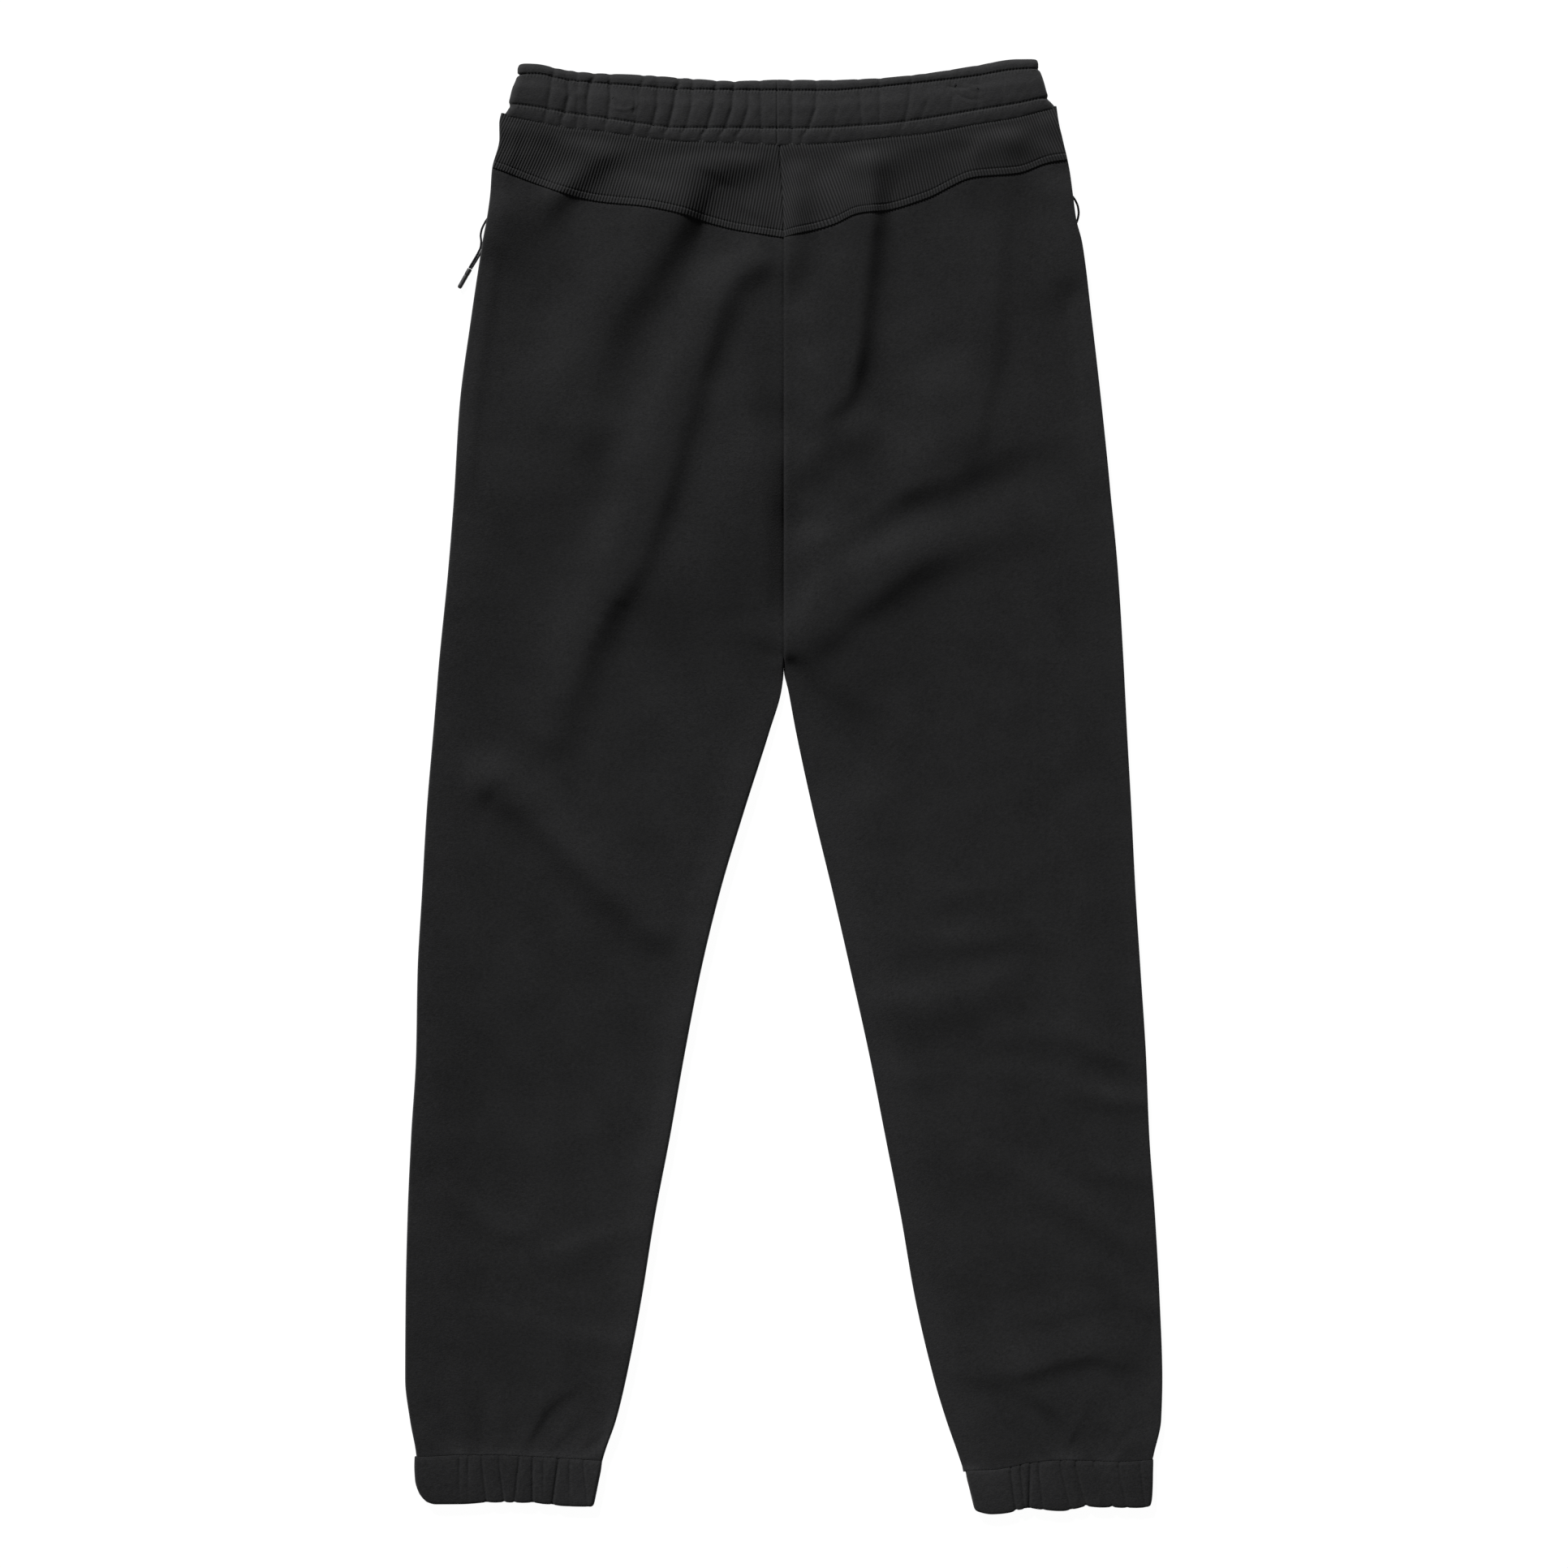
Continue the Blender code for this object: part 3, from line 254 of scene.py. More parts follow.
@dataclass(frozen=True)
class Fold:
    """A soft ridge along a route over the back, or a trough where its height is negative.

    Attributes:
        route: Points that its crest runs through, each with the crest's height there.
        left, right: Widths of the flanks to the left and right of someone who walks it.
    """

    route: tuple[tuple[float, float, float], ...]
    left: float
    right: float

    SAMPLES = 48
    FLANKS = 5.0               # flank widths after which nothing is left
    BLUR = 0.0035              # over this much the nearest stretch gives way to the next
    WIDENING = 0.04            # share of the distance squared by which that grows, squared

    @classmethod
    def of(cls, widths: tuple[int, int], *route: tuple[int, int, int]) -> Fold:
        """Make one from tenths of a millimetre, with heights in hundredths."""
        crest = tuple((x / TENTHS, y / TENTHS, z / (10 * TENTHS)) for x, y, z in route)
        return cls(crest, *(width / TENTHS for width in widths))

    def rise(self, x: Array, y: Array) -> Array:
        """Height that it adds: a bell across the crest, by how many flank widths away it is.

        Each place sees the crest's samples with a weight that falls as the exponential of
        minus their squared distance. The weighted means give its distance square to the
        crest's heading, how far past an end it lies, and the crest's height beside it.

        Args:
            x, y: Places on the cloth.

        Returns:
            The added height at each place.
        """
        route = np.array(self.route)
        steps = np.linspace(0, len(route) - 1, self.SAMPLES)
        crest = np.stack([smooth(np.arange(len(route)), route[:, k], steps) for k in (0, 1, 2)], -1)
        reach = self.FLANKS * max(self.left, self.right)
        low, high = crest.min(0) - reach, crest.max(0) + reach
        near = (x > low[0]) & (x < high[0]) & (y > low[1]) & (y < high[1])
        added = np.zeros(x.shape)
        if not near.any():
            return added
        heading = np.gradient(crest[:, :2], axis=0)
        stride = np.hypot(heading[:, 0], heading[:, 1])
        ahead = heading / stride[:, None]
        off_x, off_y = x[near][:, None] - crest[:, 0], y[near][:, None] - crest[:, 1]
        squared = off_x**2 + off_y**2
        closest = squared.min(1, keepdims=True)
        weight = np.exp((closest - squared) / (2 * self.BLUR**2 + self.WIDENING * closest))
        weight /= weight.sum(1, keepdims=True)
        across = ((ahead[:, 0] * off_y - ahead[:, 1] * off_x) * weight).sum(1)
        along = ahead[:, 0] * off_x + ahead[:, 1] * off_y
        before = np.maximum(-along[:, 0], 0) * weight[:, 0]
        after = np.maximum(along[:, -1], 0) * weight[:, -1]
        past = (after + before) / (0.5 * (self.left + self.right))
        height = (crest[:, 2] * weight).sum(1)
        width = np.where(across > 0, self.left, self.right)
        added[near] = height * np.exp(-((across / width) ** 2) - past**2)
        return added


# The routes were placed first, and a separate program then fitted most of these numbers to
# the way the cloth is shaded: they aren't hand-chosen sizes.
# each fold's widths to its left and right, then its route with the crest's heights
FOLDS = tuple(Fold.of(*numbers) for numbers in (
    # left seat and yoke
    ((139, 224), (-43, 3682, -1), (-180, 3619, 397), (-358, 3498, 448), (-485, 3260, 553),
     (-569, 3035, 678), (-660, 2818, 695), (-775, 2456, 647), (-862, 2124, 687),
     (-1037, 1648, 659), (-1254, 1194, 433), (-1444, 772, 285), (-1578, 373, 182)),
    ((204, 344), (-672, 4409, -60), (-660, 4146, 356), (-783, 3891, 700), (-982, 3567, 619),
     (-1205, 3214, 516), (-1309, 2870, 286)),
    ((104, 117), (-1162, 4419, 80), (-1241, 4351, 230), (-1414, 4206, 260), (-1533, 4096, 335),
     (-1681, 3901, 42)),
    ((83, 115), (-1772, 4360, 80), (-1629, 4441, -50), (-1406, 4454, 273)),
    ((222, 203), (-313, 4367, 152), (-320, 4168, -101), (-427, 4027, -371), (-436, 3850, -547)),
    ((214, 213), (-1552, 2523, 181), (-1332, 2447, 408), (-1163, 2303, 236)),
    ((165, 496), (-260, 2568, 440), (-160, 2012, 590), (-150, 1495, 485), (-140, 1097, 217),
     (-106, 777, -200)),
    ((351, 366), (-803, 1441, 325), (-618, 1367, 163), (-291, 1192, -89), (-105, 1144, -65)),
    ((214, 100), (-50, 4375, -140), (-128, 4202, -64), (-190, 4010, 116)),
    ((181, 151), (-1759, 4350, -20), (-1664, 4300, -60), (-1537, 4151, -140)),
    ((436, 378), (-1899, 4038, -50), (-1705, 3391, -220), (-1558, 2788, 165), (-1594, 2168, 320)),
    ((195, 207), (-900, 1000, -19), (-501, 847, -13), (-100, 795, -203)),
    ((60, 230), (-590, 4330, 50), (-450, 4370, 130), (-300, 4365, 130), (-150, 4350, 80)),
    # left leg
    ((170, 140), (-2207, 45, 49), (-1992, 29, 475), (-1840, -90, 516), (-1666, -254, 430),
     (-1511, -409, 450), (-1365, -564, 490), (-1212, -717, 490), (-1026, -877, 370),
     (-882, -1010, 200), (-720, -1100, 40)),
    ((100, 129), (-1099, -1000, 11), (-898, -1019, 80), (-600, -949, -2), (-450, -900, -22)),
    ((128, 114), (-2396, -2701, -33), (-2151, -2922, 134), (-1898, -3055, 184),
     (-1599, -3083, -42)),
    ((86, 145), (-1850, -3279, 25), (-1718, -3245, 69), (-1396, -3182, 98), (-1176, -3109, 75),
     (-949, -3065, 38)),
    ((85, 143), (-2151, -3639, 30), (-1752, -3711, 86), (-1455, -3804, 89), (-1147, -3861, 72)),
    ((102, 101), (-1501, -1900, -8), (-1419, -2150, -80), (-1380, -2450, -10)),
    ((100, 104), (-1250, -1900, -88), (-1152, -2200, -61), (-1081, -2501, -27)),
    ((319, 311), (-2002, -1596, 43), (-1895, -2200, -176), (-1893, -2800, -312)),
    ((214, 213), (-1298, -1297, -122), (-1201, -1598, -32), (-999, -2002, -107)),
    # gathers over the left cuff
    ((74, 77), (-1401, -4120, 8), (-1487, -4271, -138), (-1609, -4457, -226),
     (-1736, -4643, -153)),
    ((72, 68), (-2381, -4361, -91), (-2318, -4464, -238), (-2230, -4615, -260)),
    ((110, 93), (-2122, -4049, -38), (-2053, -4397, -277), (-2034, -4617, -283)),
    ((117, 105), (-1882, -4318, -8), (-1876, -4457, -270), (-1874, -4616, -433)),
    ((104, 88), (-1409, -4357, -76), (-1465, -4494, -292), (-1581, -4637, -333)),
    ((60, 102), (-1260, -4453, -187), (-1292, -4569, -283), (-1406, -4651, -305)),
    ((110, 34), (-1401, -4192, -20), (-1565, -4301, -120), (-1674, -4454, -150),
     (-1746, -4596, -120)),
    ((50, 22), (-1434, -4454, -30), (-1581, -4585, -90)),
    ((40, 20), (-1291, -4520, -40), (-1384, -4602, -80)),
    ((42, 24), (-2309, -4421, -40), (-2277, -4498, -70)),
    ((55, 42), (-2080, -4330, -30), (-2080, -4498, -90)),
    ((55, 42), (-1883, -4343, -30), (-1877, -4488, -80)),
    # right seat and yoke
    ((109, 361), (500, 4430, 20), (570, 4269, 240), (589, 3982, 700), (568, 3742, 611),
     (540, 3517, 620), (512, 3283, 667), (493, 3096, 687), (461, 2915, 700), (401, 2731, 700),
     (266, 2576, 280), (145, 2400, -223)),
    ((110, 125), (873, 4501, 0), (927, 4335, -50), (944, 4128, -44), (990, 3963, -97)),
    ((113, 90), (91, 4146, 232), (87, 3992, 344), (77, 3698, 309), (68, 3394, -88)),
    ((117, 139), (1252, 4469, -100), (1416, 4510, -40), (1584, 4470, 147), (1732, 4345, -123)),
    ((96, 257), (1468, 3954, 60), (1458, 3541, 180), (1427, 3000, 229), (1329, 2495, 214)),
    ((218, 231), (165, 2356, 435), (343, 2439, 401), (526, 2479, 504), (705, 2550, -27)),
    ((156, 332), (1800, 2420, 104), (1616, 2387, 222), (1350, 2259, 277), (1101, 2149, 330),
     (861, 2082, 483), (636, 1939, 342)),
    ((185, 222), (1800, 1881, 76), (1469, 1775, 155), (1185, 1686, 338), (985, 1620, 486),
     (770, 1514, 570), (571, 1397, 641), (383, 1299, 700), (232, 1113, 530), (97, 977, 309)),
    ((146, 207), (33, 1716, -48), (249, 1660, 463), (494, 1722, 100), (653, 1791, 25)),
    ((300, 340), (848, 1081, 6), (558, 1003, 150), (365, 775, 130), (203, 583, -150)),
    ((310, 116), (273, 4402, -100), (489, 4333, 100), (588, 4117, -275)),
    ((106, 96), (1126, 4456, 0), (1081, 4317, -30), (1068, 4130, -100)),
    ((70, 108), (1497, 4543, 238), (1664, 4469, -30), (1793, 4387, 150)),
    ((193, 298), (1013, 2984, 225), (1111, 2716, 472), (1180, 2465, 344)),
    ((89, 101), (199, 1901, 74), (351, 1847, 30), (504, 1893, -59)),
    ((180, 120), (610, 4400, 80), (620, 4300, 200), (630, 4150, 180), (620, 4000, 80)),
    ((130, 80), (1290, 4480, 80), (1335, 4450, 200), (1350, 4380, 190), (1340, 4300, 50)),
    ((130, 120), (1530, 4510, 40), (1565, 4460, 90), (1580, 4390, 90), (1570, 4330, 40)),
    ((640, 200), (985, 1620, 40), (770, 1514, 120), (571, 1397, 190), (383, 1299, 210),
     (232, 1113, 200)),
    # right leg
    ((120, 102), (850, -1080, 19), (1000, -1078, 54), (1252, -1087, 128), (1563, -1043, 88),
     (1718, -980, -14)),
    ((142, 202), (501, -1551, 45), (664, -1502, 151), (981, -1519, 217), (1299, -1443, 157),
     (1543, -1335, 96), (1806, -1203, -57)),
    ((103, 104), (750, -2033, 42), (980, -2022, 31), (1250, -1940, 4)),
    ((127, 109), (1546, -1727, 77), (1800, -1714, 52), (2001, -1735, 147), (2217, -1850, 184),
     (2450, -1926, 86)),
    ((84, 114), (1550, -1979, 45), (1749, -2034, 29), (2000, -2089, 93), (2299, -2169, 160),
     (2500, -2192, 157)),
    ((105, 102), (1750, -2500, -10), (2005, -2589, 52), (2200, -2665, 108), (2479, -2711, 146)),
    ((123, 129), (1402, -2545, 64), (1550, -2639, 97), (1806, -2805, 137), (2100, -2985, 196),
     (2393, -3161, 121)),
    ((135, 129), (2005, -3243, 48), (2248, -3404, 167), (2480, -3575, 193)),
    ((121, 62), (1200, -3680, 14), (1400, -3679, 0), (1650, -3688, 33), (1947, -3623, 43),
     (2149, -3576, 39)),
    ((171, 95), (1498, -4027, 110), (1648, -4021, 175), (1900, -3963, 196), (2147, -3929, 192),
     (2350, -3984, 122), (2483, -4043, -171)),
    ((205, 266), (194, 351, -277), (481, 262, -443), (801, 346, 42)),
    ((148, 128), (1700, -201, -10), (1996, 7, -115), (2248, 104, -140)),
    ((109, 97), (1200, -745, 52), (1449, -714, 23), (1700, -701, 8)),
    ((118, 125), (599, -457, -75), (899, -501, -51), (1198, -502, 46)),
    # gathers over the right cuff
    ((183, 93), (1077, -4004, -14), (1226, -4031, 91), (1501, -4103, 75), (1749, -4197, 162),
     (1902, -4299, 107)),
    ((95, 62), (1742, -4220, -36), (1780, -4301, -42), (1829, -4445, -191), (1932, -4622, -414)),
    ((58, 59), (2080, -4251, 32), (2037, -4401, 55), (1994, -4547, 78), (1960, -4679, 15)),
    ((53, 40), (1661, -4479, -6), (1706, -4558, -88), (1762, -4679, -89)),
    ((71, 94), (2301, -4450, 31), (2227, -4533, -157), (2230, -4670, -216)),
    ((50, 95), (1735, -4098, -30), (1928, -4023, -45), (2136, -3987, -60), (2300, -4039, -20)),
    ((60, 36), (1770, -4336, -30), (1850, -4430, -110), (1924, -4554, -80)),
    ((70, 20), (2035, -4450, -10), (1990, -4560, -110), (1965, -4640, -110)),
    ((50, 24), (2330, -4520, -30), (2248, -4634, -80)),
    ((45, 24), (1690, -4514, -30), (1750, -4634, -70)),
))


# ------ pullers


@dataclass(frozen=True)
class PullerLay:
    """Where a zip slider, its two cord strands and their tip lie on one side.

    Attributes:
        slider: The slider's middle in plan.
        outer, inner: Routes of the strands' centrelines.
        tip: Where the tip starts, and its heading in plan.
        lift: Ends of the stretch along which the cloth lies over the puller.
    """

    slider: tuple[float, float]
    outer: tuple[tuple[float, float, float], ...]
    inner: tuple[tuple[float, float, float], ...]
    tip: tuple[tuple[float, float], tuple[float, float]]
    lift: tuple[tuple[float, float], tuple[float, float]]


def strand_route(*places: tuple[float, float]) -> tuple[tuple[float, float, float], ...]:
    """Route through places in tenths of a millimetre: down to the floor and into the tip."""
    heights = (13, 11, 9, *[8] * (len(places) - 6), 9, 12, 17.5)
    return tuple((x / TENTHS, y / TENTHS, z / TENTHS) for (x, y), z in zip(places, heights))


PULLERS = {
    Side.LEFT: PullerLay(
        slider=(-0.1985, 0.3935),
        outer=strand_route(
            (-2022, 3944), (-2043, 3924), (-2068, 3884), (-2086, 3842), (-2092, 3804),
            (-2088, 3766), (-2091, 3730), (-2110, 3685), (-2138, 3635), (-2169, 3582),
        ),
        inner=strand_route(
            (-1990, 3885), (-2002, 3852), (-2026, 3812), (-2052, 3774), (-2068, 3734),
            (-2092, 3685), (-2123, 3631), (-2157, 3575),
        ),
        tip=((-0.21645, 0.3575), (-0.493, -0.870)),
        lift=((-0.1990, 0.3930), (-0.2020, 0.3800)),
    ),
    Side.RIGHT: PullerLay(
        slider=(0.1942, 0.4085),
        outer=strand_route(
            (1979, 4094), (1998, 4078), (2022, 4044), (2038, 4004), (2043, 3962), (2035, 3916),
            (2016, 3868), (1993, 3814), (1976, 3754), (1965, 3696),
        ),
        inner=strand_route(
            (1944, 4035), (1950, 3996), (1960, 3954), (1969, 3908), (1971, 3860), (1962, 3806),
            (1953, 3752), (1947.5, 3694),
        ),
        tip=((0.1956, 0.3691), (-0.148, -0.989)),
        lift=((0.1950, 0.4060), (0.1940, 0.3570)),
    ),
}


# ------ how the cloth lies


@dataclass(frozen=True)
class Lay:
    """Heights of the two layers of cloth, what they lie over and how they crease.

    Attributes:
        middle_stack, cuff_stack, waist_stack: Height of both layers in the middle of a leg,
            by its cuff and by the waistband.
        turn_height, gap: Height at which the layers' edges meet, and the gap between them.
        waist_top, cuff_top: How high the back comes into the waistband and into a cuff.
        lifted, pressed: How far off these two lift what lies lower and press what lies higher.
        outer_raise, outer_reach: How much higher the left and the right half lie along the
            side seam, and how far in that reaches.
        inner_raise, inner_reach: The same along the inseam.
        side_ends: How near the waistband and a cuff the side seam's raise dies out.
        waist_reach, cuff_reach: How far down and up the stacks there reach.
        fold_fade, cuff_fade: How near the waistband and a cuff the folds die out.
        cuff_hold: The share of a fold that a cuff takes away.
        side_lift, side_lift_width: Height and width of the zip under the side seam.
        zip_end, zip_fade: Height below which the seam lies on the floor, and how softly.
        puller_lift, puller_reach: Height and width of the puller's hump.
        relief: Factor on the heights of the folds.
        free_rise, soft_rise: Rise that stays as it is, and how much more there can be.
        deepest, sinking: How far the face can sink below two flat layers, and how soon.
        levelling: Height over which the lifted and the pressed part blend.
        unevenness: Height of the ripples of the cloth.
        folds: All of the folds.
    """

    middle_stack: float = 0.0058
    cuff_stack: float = 0.0071
    waist_stack: float = 0.0075
    turn_height: float = 0.0035
    gap: float = 0.0003
    waist_top: float = 0.0075
    cuff_top: float = 0.0066
    lifted: tuple[float, float] = (0.0100, 0.0022)
    pressed: tuple[float, float] = (0.0065, 0.0100)
    outer_raise: tuple[float, float] = (0.0051, -0.0022)
    outer_reach: tuple[float, float] = (0.0443, 0.0367)
    inner_raise: tuple[float, float] = (0.0019, -0.0024)
    inner_reach: tuple[float, float] = (0.0153, 0.0130)
    side_ends: tuple[float, float] = (0.060, 0.080)
    waist_reach: float = 0.045
    cuff_reach: float = 0.034
    fold_fade: float = 0.0110
    cuff_fade: float = 0.0090
    cuff_hold: float = 0.7
    side_lift: float = 0.0017
    side_lift_width: float = 0.0145
    zip_end: float = 0.225
    zip_fade: float = 0.030
    puller_lift: float = 0.0044
    puller_reach: float = 0.0190
    relief: float = 1.45
    free_rise: float = 0.0058
    soft_rise: float = 0.0045
    deepest: float = 0.0022
    sinking: float = 0.6
    levelling: float = 0.0010
    unevenness: float = 0.00007
    folds: tuple[Fold, ...] = FOLDS

    def lift(self, side: Side, x: Array, y: Array) -> Array:
        """How far the cloth is held off the floor.

        Along the zip it is a plateau that ends softly, by an eighth power of the distance
        from the side seam. Over the puller it is a bell by the distance to a stretch. The two
        join as the fourth root of the sum of their fourth powers.
        """
        inside = np.abs(x - Pattern.side_seam(side, y))
        at_seam = self.side_lift / (1 + (inside / self.side_lift_width) ** 8)
        at_seam = at_seam * ease((y - self.zip_end + self.zip_fade) / self.zip_fade) + 1e-9
        start, end = (np.array(point) for point in PULLERS[side].lift)
        run = end - start
        share = np.clip(((x - start[0]) * run[0] + (y - start[1]) * run[1]) / (run @ run), 0, 1)
        distance = np.hypot(x - start[0] - share * run[0], y - start[1] - share * run[1])
        return (at_seam**4 + (self.puller_lift * bell(distance, self.puller_reach)) ** 4) ** 0.25

    def rise(self, side: Side, x: Array, y: Array) -> Array:
        """How much higher than two flat layers the back lies, folds included.

        Near every edge the stack is thicker, by bells of the distances to them. The folds
        and ripples are added, and what stands above `free_rise` is pressed towards
        `free_rise + soft_rise` by a hyperbolic tangent.
        """
        which = 0 if side is Side.LEFT else 1
        at_side = bell(x - Pattern.side_seam(side, y), self.outer_reach[which])
        at_inseam = bell(x - Pattern.inner_seam(side, y), self.inner_reach[which])
        at_inseam = at_inseam * Pattern.turn_share(y)
        below_waist = np.maximum(WAIST.read("bottom", x) - y, 0)
        at_waist = bell(below_waist, self.waist_reach)
        above_cuff = np.maximum(y - CUFF_EDGES[side].read("seam", x), 0)
        at_cuff = bell(above_cuff, self.cuff_reach)
        for away, reach in zip((below_waist, above_cuff), self.side_ends):
            at_side = at_side * (1 - bell(away, reach))
        total = (self.waist_stack - self.middle_stack) * at_waist
        total = total + (self.cuff_stack - self.middle_stack) * at_cuff
        total = total + self.outer_raise[which] * at_side + self.inner_raise[which] * at_inseam
        held = self.cuff_hold * bell(above_cuff, self.cuff_fade)
        free = (1 - bell(below_waist, self.fold_fade)) * (1 - held)
        total = total + self.relief * free * sum(fold.rise(x, y) for fold in self.folds)
        total = total + ripples(x, y, 11, 0.020, 0.090, self.unevenness)
        sunk = self.deepest * np.tanh(-self.sinking * np.minimum(total, 0) / self.deepest)
        total = np.maximum(total, 0) - sunk
        above = np.maximum(total - self.free_rise, 0)
        return np.minimum(total, self.free_rise) + self.soft_rise * np.tanh(above / self.soft_rise)

    def back(self, side: Side, x: Array, y: Array) -> tuple[Array, Array]:
        """Height of the back's edge where it turns over, and of its face, without seams.

        Near a band the face comes to the band's own height: what lies lower is lifted over
        one reach, and what lies higher is pressed over another. A softened maximum parts them.
        """
        base = self.lift(side, x, y)
        face = self.middle_stack + base + self.rise(side, x, y)
        ways = ((self.waist_top, WAIST.read("bottom", x) - y),
                (self.cuff_top, y - CUFF_EDGES[side].read("seam", x)))
        for (top, away), lifted, pressed in zip(ways, self.lifted, self.pressed):
            away = np.maximum(away, 0)
            short = top - face
            low = (short + np.hypot(short, self.levelling)) / 2
            face = face + low * bell(away, lifted) + (short - low) * bell(away, pressed)
        return self.turn_height + self.gap / 2 + base, face

    def front(self, side: Side, x: Array, y: Array) -> tuple[Array, Array]:
        """Height of the front's edge where it turns over, and of its face on the floor."""
        base = self.lift(side, x, y)
        return self.turn_height - self.gap / 2 + base, base


# ------ meshes


def quads(index: Array) -> Array:
    """Quads between neighbouring rows and columns of a grid of vertex numbers."""
    corners = (index[:-1, :-1], index[:-1, 1:], index[1:, 1:], index[1:, :-1])
    return np.stack(corners, -1).reshape(-1, 4)


def rim(fine: Array, coarse: Array, stride: int) -> Array:
    """Polygons between a loop of close vertices and one with every `stride`-th of them."""
    spans = np.arange(len(coarse) - 1)[:, None] * stride + np.arange(stride, -1, -1)
    return np.hstack([fine[spans], coarse[:-1, None], coarse[1:, None]])


def border(index: Array) -> Array:
    """The loop of vertex numbers round a grid, closed at its start."""
    loop = [index[0, :-1], index[:-1, -1], index[-1, :0:-1], index[:0:-1, 0]]
    return np.concatenate([*loop, index[0, :1]])


def linked(name: str, data: Any) -> bpy.types.Object:
    """Put a mesh, a camera or a lamp into the scene."""
    thing = bpy.data.objects.new(name, data)
    bpy.context.scene.collection.objects.link(thing)
    return thing


class Shape:
    """Points and faces of one piece, gathered surface by surface."""

    def __init__(self) -> None:
        self.points: list[Array] = []
        self.faces: list[Array] = []
        self.uvs: list[Array] = []
        self.count = 0

    def add(self, points: Array, uv: Array | None = None) -> Array:
        """Take a grid of points, with their UV places if it has them.

        Returns:
            The grid of their vertex numbers.
        """
        flat = points.reshape(-1, 3)
        index = np.arange(len(flat)).reshape(points.shape[:-1]) + self.count
        self.points.append(flat)
        self.uvs.append(np.zeros((len(flat), 2)) if uv is None else uv.reshape(-1, 2))
        self.count += len(flat)
        return index

    def wall(self, outer: Array, lining: Array, stride: int, ring: bool = False,
             uv: Array | None = None) -> None:
        """Close an outer and a lining grid into one wall of cloth.

        Args:
            outer: Grid of points of the face that shows.
            lining: Grid of every `stride`-th row and column, on the other face.
            stride: How many steps of the outer grid one step of the lining spans.
            ring: Whether the columns run round in a ring, the first following the last.
            uv: UV places of the outer grid.
        """
        top, under = self.add(outer, uv), self.add(lining)
        if ring:
            top, under = (np.hstack([index, index[:, :1]]) for index in (top, under))
            loops = ((top[0], under[0]), (top[-1, ::-1], under[-1, ::-1]))
        else:
            loops = ((border(top), border(under)),)
        self.faces += [quads(top), quads(under)[:, ::-1]]
        self.faces += [rim(fine, coarse, stride) for fine, coarse in loops]

    def tube(self, rings: Array, uv: Array | None = None) -> None:
        """Close rings of points, one row for each, into a tube with flat ends."""
        index = self.add(rings, uv)
        self.faces += [quads(np.hstack([index, index[:, :1]])), index[:1, ::-1], index[-1:]]

    def tubes(self, rings: Array) -> None:
        """Add many alike tubes at once: the first axis of `rings` counts them."""
        index = self.add(rings)
        looped = np.concatenate([index, index[..., :1]], -1)
        corners = (looped[:, :-1, :-1], looped[:, :-1, 1:], looped[:, 1:, 1:], looped[:, 1:, :-1])
        self.faces += [np.stack(corners, -1).reshape(-1, 4), index[:, 0, ::-1], index[:, -1]]

    def outward(self) -> bool:
        """Whether the faces point out of the solid: the sum of cone volumes is positive."""
        points = np.concatenate(self.points)
        volume = 0.0
        for faces in self.faces:
            corner = points[faces]
            for k in range(1, faces.shape[1] - 1):
                cross = np.cross(corner[:, k], corner[:, k + 1])
                volume += np.einsum("ij,ij->", corner[:, 0], cross)
        return volume > 0

    def finish(self, name: str, slot: str, material: bpy.types.Material,
               stands_for: Sequence[str] = ()) -> bpy.types.Object:
        """Make the piece: it rides on the garment and stands for its solids.

        Args:
            name: The piece's name.
            slot: The record's material slot. Not used.
            material: Its finish.
            stands_for: The nodes that it replaces.

        Returns:
            The new object, smoothly shaded, with its place in its mesh.
        """
        if not self.outward():
            self.faces = [faces[:, ::-1] for faces in self.faces]
        mesh = bpy.data.meshes.new(name)
        lists = [face for faces in self.faces for face in faces.tolist()]
        mesh.from_pydata(np.concatenate(self.points).tolist(), [], lists)
        corners = np.empty(len(mesh.loops), np.int32)
        mesh.loops.foreach_get("vertex_index", corners)
        layer = mesh.uv_layers.new(name="UVMap")
        layer.data.foreach_set("uv", np.concatenate(self.uvs)[corners].astype(np.float32).ravel())
        mesh.materials.append(material)
        mesh.shade_smooth()
        piece = linked(name, mesh)
        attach(piece, "root")
        if stands_for:
            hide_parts(*stands_for)
        triangles = sum((faces.shape[1] - 2) * len(faces) for faces in self.faces)
        LOG.info("%s: %d triangles", name, triangles)
        return piece


def circle(around: int, across: Array, up: Array) -> Array:
    """Points round a unit circle with these two axes."""
    angle = np.linspace(0, tau, around, endpoint=False)[:, None]
    return np.cos(angle) * across + np.sin(angle) * up


def axes(heading: Array) -> tuple[Array, Array]:
    """Two axes square to each heading: its cross product with +Z, and that with itself."""
    heading = heading / np.linalg.norm(heading, axis=1, keepdims=True)
    across = np.cross(heading, (0.0, 0.0, 1.0))
    across /= np.linalg.norm(across, axis=1, keepdims=True)
    return across, np.cross(across, heading)


def sweep(path: Array, radius: float | Array, around: int) -> Array:
    """Carry a circle along a path that never runs straight up.

    Args:
        path: Points of the centreline, in rows.
        radius: One radius, or one for each point.
        around: Points in the circle.

    Returns:
        A grid with one ring of points for each point of the path.
    """
    across, up = axes(np.gradient(path, axis=0))
    reach = np.broadcast_to(radius, len(path))[:, None, None]
    return path[:, None] + reach * circle(around, across[:, None], up[:, None])


